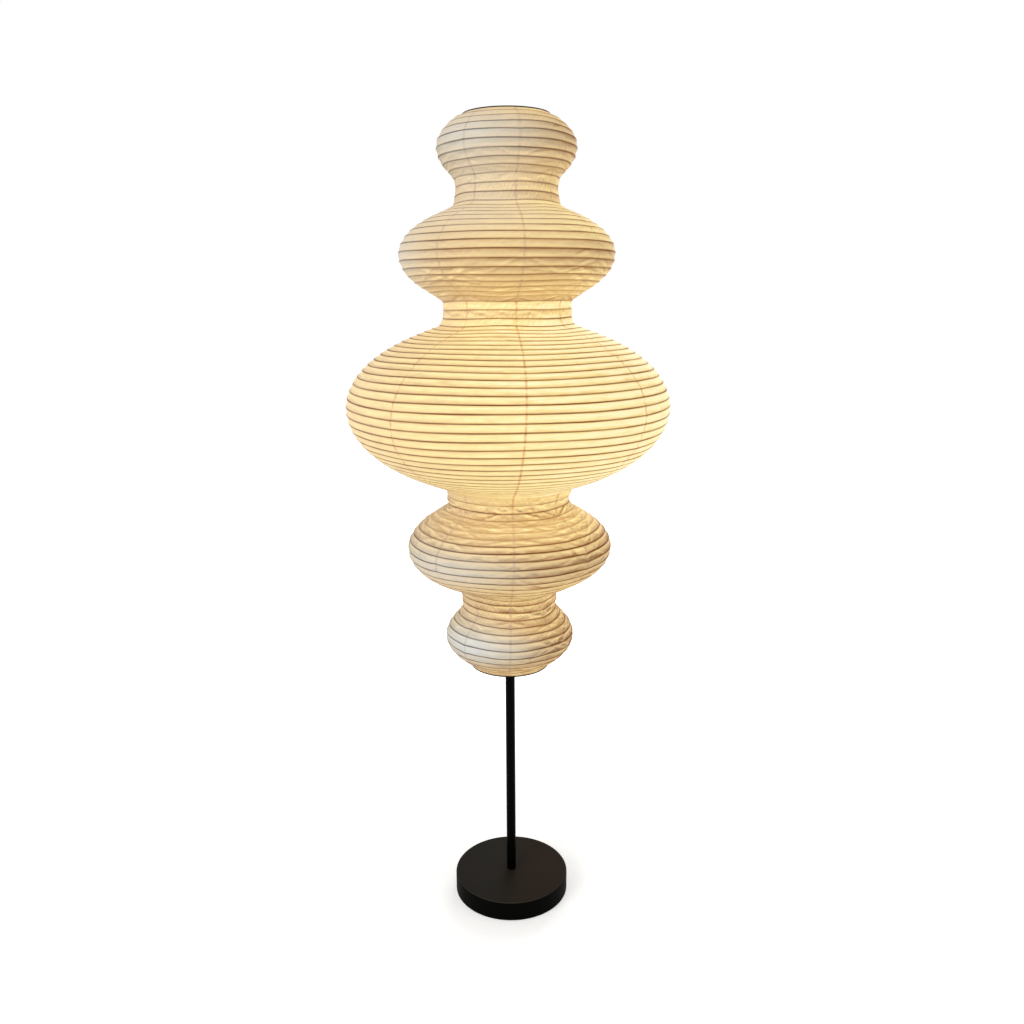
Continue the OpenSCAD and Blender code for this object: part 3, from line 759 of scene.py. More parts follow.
def settle(piece: bpy.types.Object, material: bpy.types.Material, body: Body, slot: Slot,
           *nodes: str) -> None:
    """Gives a piece its material and body, and lets it stand for its CAD nodes.

    Args:
        piece: The new piece.
        material: Its material.
        body: The body that it rides on.
        slot: The record's slot of its finish. It is not used.
        nodes: The CAD nodes that it stands for.
    """
    piece.data.materials.append(material)
    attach(piece, body.value)
    if nodes:
        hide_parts(*nodes)
    log.info("%s: %d faces", piece.name, len(piece.data.polygons))


@dataclass(frozen=True)
class Ripple:
    """Smooth noise that closes round the lantern: a sum of sine waves of random direction.

    Attributes:
        seed: Seed of the waves.
        round_waves: Fewest and most waves once round the lantern.
        rise_waves: Fewest and most waves from one rib to the next.
        count: Number of waves.
    """

    seed: int
    round_waves: tuple[int, int]
    rise_waves: tuple[float, float]
    count: int = 40

    def at(self, turn: np.ndarray, row: np.ndarray) -> np.ndarray:
        """The noise on a grid. sin(m turn + k row + p) is split up, so that it is two matrix products.

        Args:
            turn: Angles round the lantern from the first seam, in radians.
            row: Heights, in ribs from the lower rim.

        Returns:
            Values of about -2 to 2, by row and turn.
        """
        rng = np.random.default_rng(self.seed)
        waves = rng.integers(self.round_waves[0], self.round_waves[1] + 1, self.count)
        rises = rng.uniform(*self.rise_waves, self.count) * 2 * np.pi * rng.choice([-1, 1], self.count)
        phase = row[:, None] * rises + rng.uniform(0, 2 * np.pi, self.count)
        swing = waves[:, None] * turn[None, :]
        total = np.sin(phase) @ np.cos(swing) + np.cos(phase) @ np.sin(swing)
        return total / math.sqrt(self.count / 2)


@dataclass(frozen=True)
class LanternOutline:
    """Outline of the paper, in metres: the power mean of a neck line and five ellipses, as in the source.

    Attributes:
        stop_z: Heights of the lower rim, the necks and the upper rim.
        stop_r: Radii there.
        bulge_z: Heights of the bulges.
        bulge_r: Radii of the bulges.
        bulge_half: Half heights of the ellipses behind them.
        power: How crisply a bulge meets its neck.
        bays: Steps from rib to rib.
        stop_rib: The ribs at the rims and necks.
        seam_turn: Turn of the first seam at the middle of the lantern, in degrees.
        seam_twist: How far the seams wander round from the lowest bulge to the highest one, in degrees.
        gores: Number of seams.
        rim_wire_r: Radius of the ring of wire in each rim.
        wire_r: Half the thickness of that wire.
        glue: How deep the paper's edge sits in the wire.
        samples: Points at which its length is measured.
        rim_rows: Ribs from a rim over which its unevenness dies out.
        lower_rows: Rib from which the unevenness grows downwards, and over how many ribs.
        dip_width: How far from a seam the ribs dip.
        wander: How far the ribs wander up and down.
        dip: How far they dip at a seam.
        lower_gain: How much further they wander and dip in the lower bulges.
        swell: How far the paper wanders in and out.
    """

    stop_z: tuple[float, ...] = (0.509, 0.640, 0.860, 1.190, 1.410, 1.533)
    stop_r: tuple[float, ...] = (0.078, 0.092, 0.118, 0.118, 0.092, 0.078)
    bulge_z: tuple[float, ...] = (0.572, 0.754, 1.022, 1.296, 1.478)
    bulge_r: tuple[float, ...] = (0.1235, 0.195, 0.301, 0.195, 0.1235)
    bulge_half: tuple[float, ...] = (0.0645, 0.090, 0.159, 0.090, 0.0645)
    power: float = 6.0
    bays: int = 97
    stop_rib: tuple[int, ...] = (0, 11, 31, 66, 87, 97)
    seam_turn: float = 5.5
    seam_twist: float = 10.0
    gores: int = 8
    rim_wire_r: float = 0.0765
    wire_r: float = 0.0015
    glue: float = 0.0001
    samples: int = 1025
    rim_rows: float = 2.5
    lower_rows: tuple[int, int] = (34, 12)
    dip_width: float = 0.014
    wander: float = 0.0005
    dip: float = 0.0006
    lower_gain: tuple[float, float] = (0.8, 1.3)
    swell: float = 0.0006

    def radius(self, z: np.ndarray) -> np.ndarray:
        """Radius at each height: the p-th root of the sum of the p-th powers of neck line and ellipses."""
        total = np.interp(z, self.stop_z, self.stop_r) ** self.power
        for height, radius, half in zip(self.bulge_z, self.bulge_r, self.bulge_half):
            inside = np.clip(1 - ((z - height) / half) ** 2, 0, None)
            total = total + (radius * np.sqrt(inside)) ** self.power
        return total ** (1 / self.power)

    def ribs(self) -> tuple[np.ndarray, np.ndarray]:
        """Places of the ribs, at equal steps along the paper, and of the paper's edge on the two rim wires.

        Returns:
            Radius and height of each rib, and the unit vector out of the paper there.
        """
        z = np.linspace(self.stop_z[0], self.stop_z[-1], self.samples)
        r = self.radius(z)
        length = np.concatenate([[0], np.cumsum(np.hypot(np.diff(z), np.diff(r)))])
        rib_z = np.interp(np.linspace(0, length[-1], self.bays + 1), length, z)
        point = np.stack([self.radius(rib_z), rib_z], axis=-1)
        chord = np.concatenate([point[1:2] - point[:1], point[2:] - point[:-2], point[-1:] - point[-2:-1]])
        out = np.stack([chord[:, 1], -chord[:, 0]], axis=-1)
        for edge, beside, lift in ((0, 1, self.wire_r), (-1, -2, -self.wire_r)):
            wire = np.array([self.rim_wire_r, point[edge, 1] + lift])
            way = point[beside] - wire
            point[edge] = wire + way * (self.wire_r - self.glue) / np.linalg.norm(way)
        return point, out / np.linalg.norm(out, axis=1, keepdims=True)

    def section(self, row: np.ndarray) -> tuple[np.ndarray, np.ndarray]:
        """Radius and height at heights counted in ribs, straight from rib to rib, and the unit vector out.

        Args:
            row: Heights, in ribs from the lower rim, not always whole.

        Returns:
            The points and the unit vectors.
        """
        point, out = self.ribs()
        whole = np.arange(self.bays + 1)
        place = np.stack([np.interp(row, whole, point[:, i]) for i in (0, 1)], axis=-1)
        away = np.stack([np.interp(row, whole, out[:, i]) for i in (0, 1)], axis=-1)
        return place, away / np.linalg.norm(away, axis=1, keepdims=True)

    def seams(self) -> np.ndarray:
        """Angles of the seams from the first one, in radians."""
        return np.arange(self.gores) * 2 * np.pi / self.gores

    def twist(self, z: np.ndarray) -> np.ndarray:
        """Turn of the first seam at each height, in radians: it wanders round evenly as it climbs."""
        rise = (z - (self.bulge_z[1] + self.bulge_z[3]) / 2) / (self.bulge_z[4] - self.bulge_z[0])
        return np.radians(self.seam_turn + self.seam_twist * rise)

    def drift(self, turn: np.ndarray, row: np.ndarray) -> tuple[np.ndarray, np.ndarray]:
        """How far hand work leaves the paper off its outline: up along it, and out from it.

        The ribs wander in slow waves and dip where a seam draws them together, more so in the lower bulges.
        All of it dies out at the rims, which are wire.

        Args:
            turn: Angles round the lantern from the first seam, in radians.
            row: Heights, in ribs from the lower rim.

        Returns:
            The drift along the paper and out of it, in metres, by row and turn.
        """
        ease = np.clip(np.minimum(row, self.bays - row) / self.rim_rows, 0, 1)[:, None]
        lower = np.clip((self.lower_rows[0] - row) / self.lower_rows[1], 0, 1)[:, None]
        wander = Ripple(seed=3, round_waves=(1, 6), rise_waves=(0.02, 0.09)).at(turn, row)
        gap = np.angle(np.exp(1j * (turn[None, :] - self.seams()[:, None])))
        place, _ = self.section(row)
        near = np.exp(-np.abs(gap[None]) * place[:, 0, None, None] / self.dip_width)
        depth = Ripple(seed=5, round_waves=(1, 7), rise_waves=(0.05, 0.3)).at(self.seams(), row)
        kink = (near * (0.5 + depth[:, :, None])).sum(axis=1)
        more_wander, more_dip = self.lower_gain
        up = self.wander * wander * (1 + more_wander * lower) - self.dip * kink * (0.5 + more_dip * lower)
        out = Ripple(seed=7, round_waves=(2, 5), rise_waves=(0.01, 0.05)).at(turn, row) * self.swell
        return up * ease, out * ease

    def lifted(self, row: np.ndarray, turn: np.ndarray, lift: Any) -> tuple[np.ndarray, ...]:
        """Points at a distance from the outline, with the drift of hand work.

        Args:
            row: Heights, in ribs from the lower rim.
            turn: Angles round the lantern from the first seam, in radians.
            lift: How far out of the outline the points lie, in metres, by row and turn or as one number.

        Returns:
            Their radius and height in metres, and the cosine and sine of their angle, by row and turn.
        """
        place, away = self.section(row)
        up, out = self.drift(turn, row)
        r = place[:, 0, None] + away[:, 0, None] * (lift + out) - away[:, 1, None] * up
        z = place[:, 1, None] + away[:, 1, None] * (lift + out) + away[:, 0, None] * up
        angle = turn[None, :] + self.twist(place[:, 1])[:, None]
        return r, z, np.cos(angle), np.sin(angle)


OUTLINE = LanternOutline()


@dataclass(frozen=True)
class Daylight:
    """A soft patch of daylight on the paper, from a window or off a wall.

    Attributes:
        height: Height of its middle, in metres.
        reach: Half its height, in metres.
        turn: Where its middle lies, in degrees from the front towards the bulb's side.
        spread: Half its width, in degrees.
        strength: How far it cools the paper, from 0 to 1.
    """

    height: float
    reach: float
    turn: float
    spread: float
    strength: float


@dataclass(frozen=True)
class LampInside:
    """The bulb as a light, how much of it reaches each point of the paper, and the daylight from outside.

    Attributes:
        place: Centre of the globe, in metres.
        even: Share that the walls hand on everywhere.
        near: Further share near the lamp.
        straight: Share that comes straight from the globe.
        lobe: How much brighter than on average the bulb's side is beside the bulb, and how much dimmer the
            other one.
        outer_lobe: The same in the outer bulges.
        lobe_turn: Where it is brightest, in degrees from the front towards the bulb's side.
        dim_waist: How much dimmer the widest part of each bulge is, which lies in shade in the outer ones.
        relief: How strongly a slope towards or away from the lamp shows.
        drown: Share of the lamplight that is lost to the eye where daylight is strongest.
        patches: The daylight.
        middle: Height of the middle of the light that the walls hand on, in metres.
        near_reach: How far the share near the lamp reaches, in metres.
        far: A last share, which falls off slowly.
        far_reach: How far it reaches, in metres.
        halving: Distance from the globe at which its light has halved, in metres.
        neck_blur: Width of the soft edge of a neck's shadow, in metres.
        waist_reach: How far a dim waist reaches up and down, in metres.
        lobe_change: Distances from the middle between which one lobe turns into the other, in metres.
        most: The most that the glow comes to.
    """

    place: tuple[float, float, float] = (0.038, 0.0, 1.067)
    even: float = 0.36
    near: float = 0.22
    straight: float = 0.70
    lobe: float = 0.23
    outer_lobe: float = 0.36
    lobe_turn: float = 70.0
    dim_waist: tuple[float, ...] = (0.42, 0.33, 0.0, 0.42, 0.40)
    relief: float = 1.9
    drown: float = 0.7
    patches: tuple[Daylight, ...] = (
        Daylight(0.582, 0.033, -38, 50, 0.95), Daylight(0.750, 0.034, -38, 42, 0.55),
        Daylight(1.492, 0.040, -32, 60, 0.6), Daylight(1.296, 0.050, -75, 26, 0.4),
        Daylight(1.365, 0.040, -15, 60, 0.4), Daylight(1.432, 0.030, -25, 70, 0.3),
        Daylight(1.020, 0.600, -95, 70, 0.25))
    middle: float = 1.05
    near_reach: float = 0.2
    far: float = 0.10
    far_reach: float = 0.4
    halving: float = 0.30
    neck_blur: float = 0.03
    waist_reach: float = 0.034
    lobe_change: tuple[float, float] = (0.15, 0.25)
    most: float = 1.3

    def reaches(self, points: np.ndarray) -> np.ndarray:
        """Share of the globe that each point sees past the necks between them, from 0 to 1."""
        ray = points - np.array(self.place)
        seen = np.ones(points.shape[:-1])
        for neck_z, neck_r in zip(OUTLINE.stop_z[1:5], OUTLINE.stop_r[1:5]):
            share = (neck_z - self.place[2]) / np.where(np.abs(ray[..., 2]) < 1e-6, 1e-6, ray[..., 2])
            across = np.hypot(self.place[0] + ray[..., 0] * share, self.place[1] + ray[..., 1] * share)
            room = np.clip((neck_r - across) / self.neck_blur + 0.5, 0, 1)
            seen = np.where((share > 0) & (share < 1), np.minimum(seen, room), seen)
        return seen

    def tilt(self, points: np.ndarray, smooth: np.ndarray, slopes: np.ndarray) -> np.ndarray:
        """How far sag and wrinkles turn the paper towards the lamp: the ray times the change of its slope.

        Args:
            points: Points of the paper, in metres.
            smooth: Unit vectors out of the lantern's outline.
            slopes: Unit vectors out of the paper with its sag and wrinkles.

        Returns:
            The tilt, below 0 where the paper turns away.
        """
        ray = points - np.array(self.place)
        return (ray * (slopes - smooth)).sum(axis=-1) / np.linalg.norm(ray, axis=-1)

    def glow(self, points: np.ndarray, smooth: np.ndarray, slopes: np.ndarray) -> np.ndarray:
        """Lamplight through the paper: the share that comes straight from the globe and the share that the
        walls hand on.

        The straight share is the cosine at the paper over one plus the square of distance over halving, where
        no neck stands between. The other share falls smoothly with height from the lamp, and at the waists of
        the outer bulges. A slope that turns the paper towards the lamp makes both brighter.

        Args:
            points: Points of the paper, in metres.
            smooth: Unit vectors out of the lantern's outline.
            slopes: Unit vectors out of the paper with its sag and wrinkles.

        Returns:
            The glow, from 0 to about 1.
        """
        ray = points - np.array(self.place)
        distance = np.linalg.norm(ray, axis=-1)
        ray = ray / distance[..., None]
        facing = np.clip((ray * slopes).sum(axis=-1), 0, 1)
        straight = facing * self.reaches(points) / (1 + (distance / self.halving) ** 2)
        away = np.abs(points[..., 2] - self.middle)
        handed = self.even + self.near * np.exp(-(away / self.near_reach) ** 2)
        handed = handed + self.far * np.exp(-away / self.far_reach)
        for height, dim in zip(OUTLINE.bulge_z, self.dim_waist):
            handed = handed * (1 - dim * np.exp(-((points[..., 2] - height) / self.waist_reach) ** 2))
        handed = handed * (1 + self.relief * self.tilt(points, smooth, slopes))
        turn = np.arctan2(points[..., 0], -points[..., 1])
        lobe = np.interp(away, self.lobe_change, (self.lobe, self.outer_lobe))
        side = 1 + lobe * np.cos(turn - math.radians(self.lobe_turn))
        total = (handed + self.straight * straight) * side * (1 - self.drown * self.chill(points))
        return np.clip(total, 0, self.most)

    def chill(self, points: np.ndarray) -> np.ndarray:
        """Daylight on the paper, from 0 to 1: the sum of its patches, each a bell over height and width."""
        turn = np.degrees(np.arctan2(points[..., 0], -points[..., 1]))
        total = np.zeros(points.shape[:-1])
        for patch in self.patches:
            total += patch.strength * np.exp(-((points[..., 2] - patch.height) / patch.reach) ** 2
                                             - ((turn - patch.turn) / patch.spread) ** 2)
        return np.clip(total, 0, 1)


@dataclass(frozen=True)
class CreaseSizes:
    """Sizes of the paper's creases. Two numbers are the lowest and the highest value.

    Attributes:
        share: Place up the bulge, as a share of its height.
        scatter: How far the creases scatter round the place where most of them lie, as such a share.
        slope: Slope against the ribs, in radians.
        half: Half length, in metres.
        width: Half width, in metres.
        depth: Depth, as a share of the sag.
    """

    share: tuple[float, float] = (0.03, 0.97)
    scatter: float = 0.24
    slope: tuple[float, float] = (0.12, 0.5)
    half: tuple[float, float] = (0.013, 0.039)
    width: tuple[float, float] = (0.0021, 0.0034)
    depth: tuple[float, float] = (0.55, 1.25)


@dataclass(frozen=True)
class PaperBulge:
    """Paper of one bulge: an outer and an inner wall, closed at the two ribs where it ends.

    Attributes:
        name: The piece's name.
        node: The CAD node that it stands for.
        first: Its lowest rib.
        last: Its highest rib.
        rows: Rows of the outer wall from rib to rib.
        columns: Points round it.
        sag: How far the paper sags in between two ribs, in metres.
        crumple: Height of its wrinkles, in metres.
        creases: Number of sharp creases.
        gather: Where most creases lie, as a share of its height.
        rib_show: How dark the ribs show, from its lower end to its upper end.
        rib_at: At which shares of its height they show so.
        seed: Seed of its wrinkles.
        crease: Sizes of its creases.
        thickness: Thickness of the paper, in metres.
        neck_rows: Ribs from a neck within which its waves are higher.
        slack: How much further inside the inner wall lies between the ribs, in metres.
        least_sag: Share of the sag that is left where no rib shows.
        fold_gain: How strongly a tilt away from the lamp counts as a fold.
    """

    name: str
    node: str
    first: int
    last: int
    rows: int
    columns: int
    sag: float
    crumple: float
    creases: int
    gather: float
    rib_show: tuple[float, ...]
    seed: int
    rib_at: tuple[float, ...] = (0.1, 0.35, 0.6, 0.9)
    crease: CreaseSizes = CreaseSizes()
    thickness: float = 0.0005
    neck_rows: float = 1.6
    slack: float = 0.0006
    least_sag: float = 0.4
    fold_gain: float = 2.2

    def wrinkles(self, turn: np.ndarray, row: np.ndarray, radius: np.ndarray) -> np.ndarray:
        """Wrinkles of the sheet, in metres out of it: fine waves, and creases like short strokes.

        The waves are twice as high at the necks. A crease is a bell across its line and a flat-topped bell
        along it. Two in three stand on a seam, where the line runs off alike to both sides, like a roof.
        Three in four slope down, outwards from a seam or anticlockwise elsewhere.

        Args:
            turn: Angles round the lantern from the first seam, in radians.
            row: Heights, in ribs from the lower rim.
            radius: Radius at each row.

        Returns:
            The height of the wrinkles, by row and turn.
        """
        at_neck = sum(np.exp(-((row - stop) / self.neck_rows) ** 2) for stop in OUTLINE.stop_rib[1:5])
        ripple = Ripple(self.seed, round_waves=(20, 90), rise_waves=(0.2, 1.1), count=60)
        waves = ripple.at(turn, row) * self.crumple * (1 + at_neck[:, None])
        rng = np.random.default_rng(self.seed + 1)
        creased = np.zeros_like(waves)
        for number in range(self.creases):
            at_seam = number % 3 != 2
            middle = rng.choice(OUTLINE.seams()) if at_seam else rng.uniform(0, 2 * np.pi)
            share = np.clip(rng.normal(self.gather, self.crease.scatter), *self.crease.share)
            level = self.first + (self.last - self.first) * share
            slope = rng.uniform(*self.crease.slope) * rng.choice([-1, -1, -1, 1])
            half, width = rng.uniform(*self.crease.half), rng.uniform(*self.crease.width)
            depth = rng.uniform(*self.crease.depth) * self.sag * rng.choice([-1, 1])
            x = np.angle(np.exp(1j * (turn - middle)))[None, :] * radius[:, None]
            if at_seam:
                x = np.abs(x) - half
            y = (row[:, None] - level) * BAY
            along = x * math.cos(slope) + y * math.sin(slope)
            across = y * math.cos(slope) - x * math.sin(slope)
            creased += depth * np.exp(-(across / width) ** 2 - (along / half) ** 4)
        return waves + creased

    def shows(self, row: np.ndarray) -> np.ndarray:
        """How dark the ribs show at heights counted in ribs, from 0 to 1."""
        return np.interp((row - self.first) / (self.last - self.first), self.rib_at, self.rib_show)

    def wall(self, row: np.ndarray, turn: np.ndarray, inner: bool) -> tuple[np.ndarray, np.ndarray]:
        """One wall of the paper.

        Straight from rib to rib, less the sag, which is the 1.3rd power of a sine over the bay and smaller
        where the ribs show less, plus the wrinkles under the same sine, so that the paper stays on its ribs.
        The inner wall lies one thickness inside, and a little more between the ribs.

        Args:
            row: Heights, in ribs from the lower rim.
            turn: Angles round the lantern from the first seam, in radians.
            inner: Whether it is the inner wall.

        Returns:
            Points in metres and unit vectors out, by row and turn.
        """
        place, away = OUTLINE.section(row)
        arch = np.abs(np.sin(np.pi * row))[:, None]
        uneven = 1 + 0.35 * Ripple(self.seed + 2, round_waves=(2, 14), rise_waves=(0.1, 0.5)).at(turn, row)
        share = self.least_sag + (1 - self.least_sag) * self.shows(row)[:, None]
        depth = -self.sag * share * uneven.clip(0.2, 1.8) * arch ** 1.3
        if inner:
            depth = depth - self.thickness - self.slack * arch
        else:
            depth = depth + self.wrinkles(turn, row, place[:, 0]) * arch
        r, z, round_x, round_y = OUTLINE.lifted(row, turn, depth)
        points = np.stack([r * round_x, r * round_y, z], axis=-1)
        level = np.broadcast_to(away[:, 0, None], r.shape)
        rise = np.broadcast_to(away[:, 1, None], r.shape)
        normal = np.stack([level * round_x, level * round_y, rise], axis=-1)
        return points, normal

    def build(self, lamp: LampInside, finish: LanternPaper) -> None:
        """Builds and dresses the paper.

        Args:
            lamp: The light inside.
            finish: The paper's finish.
        """
        turn = np.arange(self.columns) * 2 * np.pi / self.columns
        step = (1 - np.cos(np.pi * np.arange(self.rows) / self.rows)) / 2     # denser beside a rib
        step = 0.5 * step + 0.5 * np.arange(self.rows) / self.rows
        outer = np.append((np.arange(self.first, self.last)[:, None] + step).ravel(), self.last)
        inner = np.linspace(self.last, self.first, 2 * (self.last - self.first) + 1)
        outer_points, outer_normals = self.wall(outer, turn, False)
        inner_points, inner_normals = self.wall(inner, turn, True)
        points = np.concatenate([outer_points, inner_points])
        normals = np.concatenate([outer_normals, inner_normals])
        slopes = np.concatenate([slopes_out(outer_points), inner_normals])
        rows = np.concatenate([outer, inner])
        off_rim = np.clip(np.minimum(rows, OUTLINE.bays - rows) / 0.15, 0, 1)  # a rim has wire, not bamboo
        show = np.broadcast_to((self.shows(rows) * off_rim)[:, None], points.shape[:2])
        fold = np.clip(-self.fold_gain * lamp.tilt(points, normals, slopes), 0, 1)
        numbers = {"glow": lamp.glow(points, normals, slopes)[None], "chill": lamp.chill(points)[None],
                   "rib_show": show[None], "fold": fold[None]}
        piece = loft(self.name, points[None], numbers, rows, OUTLINE.gores)
        settle(piece, finish.material(), Body.LANTERN, Slot.PAPER, self.node)


@dataclass(frozen=True)
class RibSet:
    """Ribs of one bulge, glued inside the paper and following its unevenness.

    Attributes:
        name: The piece's name.
        node: The CAD node that it stands for.
        first: Its lowest rib.
        last: Its highest rib.
        thickness: Thickness of a rib, in metres.
        paper: Thickness of the paper, in metres.
        glue: How deep a rib sits in the paper, in metres.
        around: Points round a ring.
        sides: Points round a rib's section.
    """

    name: str
    node: str
    first: int
    last: int
    thickness: float = 0.0018
    paper: float = 0.0005
    glue: float = 0.0001
    around: int = 160
    sides: int = 6

    def build(self, finish: BambooRib) -> None:
        """Builds and dresses the ribs: rings whose section is a small circle in the plane of the axis."""
        ribs = np.arange(self.first, self.last + 1).astype(float)
        turn = np.arange(self.around) * 2 * np.pi / self.around
        half = self.thickness / 2
        r, z, round_x, round_y = OUTLINE.lifted(ribs, turn, self.glue - self.paper - half)
        angle = np.arange(self.sides) * 2 * np.pi / self.sides
        ring_r = r[:, None, :] + half * np.cos(angle)[None, :, None]
        ring_z = z[:, None, :] + half * np.sin(angle)[None, :, None]
        points = np.stack([ring_r * round_x[:, None, :], ring_r * round_y[:, None, :], ring_z], axis=-1)
        piece = loft(self.name, points)
        settle(piece, finish.material(), Body.LANTERN, Slot.RIB, self.node)


@dataclass
class Lantern:
    """The lantern: its paper and ribs, bulge by bulge."""

    lamp: LampInside = field(default_factory=LampInside)
    paper_finish: LanternPaper = field(default_factory=LanternPaper)
    rib_finish: BambooRib = field(default_factory=BambooRib)

    def papers(self) -> list[PaperBulge]:
        """The paper of each bulge, from the floor up."""
        stops = OUTLINE.stop_rib
        return [
            PaperBulge("bottom_bulge_paper", "paper_bottom_bulge", stops[0], stops[1], rows=10, columns=384,
                       sag=0.0017, crumple=0.00016, creases=90, gather=0.6,
                       rib_show=(0.95, 1.0, 1.0, 0.85), seed=11),
            PaperBulge("lower_bulge_paper", "paper_lower_bulge", stops[1], stops[2], rows=9, columns=400,
                       sag=0.0016, crumple=0.00018, creases=240, gather=0.76,
                       rib_show=(0.95, 1.0, 0.25, 0.25, 0.8), rib_at=(0.1, 0.69, 0.77, 0.86, 0.93), seed=23),
            PaperBulge("main_bulge_paper", "paper_main_bulge", stops[2], stops[3], rows=5, columns=384,
                       sag=0.0011, crumple=0.00014, creases=120, gather=0.5,
                       rib_show=(0.2, 0.85, 1.0, 0.95), rib_at=(0.02, 0.1, 0.35, 0.9), seed=37),
            PaperBulge("upper_bulge_paper", "paper_upper_bulge", stops[3], stops[4], rows=8, columns=400,
                       sag=0.0010, crumple=0.00012, creases=180, gather=0.28,
                       rib_show=(0.8, 0.35, 0.9, 0.9, 0.8), rib_at=(0.0, 0.15, 0.45, 0.6, 0.9), seed=41),
            PaperBulge("top_bulge_paper", "paper_top_bulge", stops[4], stops[5], rows=10, columns=384,
                       sag=0.0010, crumple=0.00012, creases=70, gather=0.35,
                       rib_show=(0.6, 0.9, 0.9, 0.7), seed=53),
        ]

    def build(self) -> None:
        """Builds the paper and the ribs of every bulge."""
        for bulge in self.papers():
            bulge.build(self.lamp, self.paper_finish)
            name = bulge.name.replace("paper", "ribs")
            node = bulge.node.replace("paper", "ribs")
            first = max(bulge.first, 1)
            last = bulge.last - 1
            RibSet(name, node, first, last).build(self.rib_finish)


@dataclass
class Hardware:
    """The stand, the lampholder, the bulb and the lantern's wires: CAD nodes that keep their shape."""

    finishes: dict[str, PlainFinish] = field(default_factory=lambda: {
        "felt_pad": WOOL_FELT, "base_weight": CAST_IRON, "base_cover": POWDER_COAT, "base_stud": ZINC_PLATE,
        "base_washer": ZINC_PLATE, "base_lock_washer": SPRING_STEEL, "base_nut": ZINC_PLATE,
        "cord_gland": MOULDED_RUBBER, "pole_foot": BLACK_ZINC, "lower_pole": SATIN_ENAMEL,
        "pole_joiner": SATIN_ENAMEL, "upper_pole": SATIN_ENAMEL, "lower_spider": SATIN_ENAMEL,
        "collar_screw": ZINC_PLATE, "pole_head": ZINC_PLATE, "lamp_bracket": POWDER_COAT,
        "rod_nut": ZINC_PLATE, "lantern_rod": SATIN_ENAMEL, "rod_ferrule": SATIN_ENAMEL,
        "holder_nipple": ZINC_PLATE, "nipple_nut": ZINC_PLATE, "holder_cap": PHENOLIC,
        "holder_core": PORCELAIN, "holder_sleeve": STAMPED_BRASS, "holder_contact": STAMPED_BRASS,
        "holder_skirt": PHENOLIC, "bulb_tip": NICKEL_PLATE, "bulb_insulator": BLACK_GLASS,
        "bulb_cap": NICKEL_PLATE, "bulb_body": BULB_PLASTIC, "top_frame": SATIN_ENAMEL,
        "lower_ring": SATIN_ENAMEL, "cap_nut": SATIN_ENAMEL})
    globe: OpalGlobe = field(default_factory=OpalGlobe)

    def build(self) -> None:
        """Gives every kept node its finish."""
        for node, finish in self.finishes.items():
            self.dress(node, finish.material())
        self.dress("bulb_globe", self.globe.material())

    def dress(self, node: str, material: bpy.types.Material) -> None:
        """Puts a material in every material slot of a CAD node.

        Args:
            node: The node's name.
            material: The material.
        """
        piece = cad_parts[node]
        for place in piece.material_slots:
            place.material = material
        log.info("%s: %s", node, material.name)


@dataclass(frozen=True)
class SoftLamp:
    """A square soft lamp, aimed a little below the middle of the lantern.

    Attributes:
        name: Its name.
        place: Where it stands, in metres.
        size: Length of its side, in metres.
        power: Its power in watts.
        target: What it is aimed at, in metres.
    """

    name: str
    place: tuple[float, float, float]
    size: float
    power: float
    target: tuple[float, float, float] = (0.0, 0.0, 0.85)

    def build(self) -> None:
        """Builds the lamp."""
        data = bpy.data.lights.new(self.name, "AREA")
        data.size, data.energy = self.size, self.power
        lamp = bpy.data.objects.new(self.name, data)
        lamp.location = self.place
        lamp.rotation_mode = "QUATERNION"
        lamp.rotation_quaternion = (Vector(self.target) - Vector(self.place)).to_track_quat("-Z", "Y")
        bpy.context.scene.collection.objects.link(lamp)


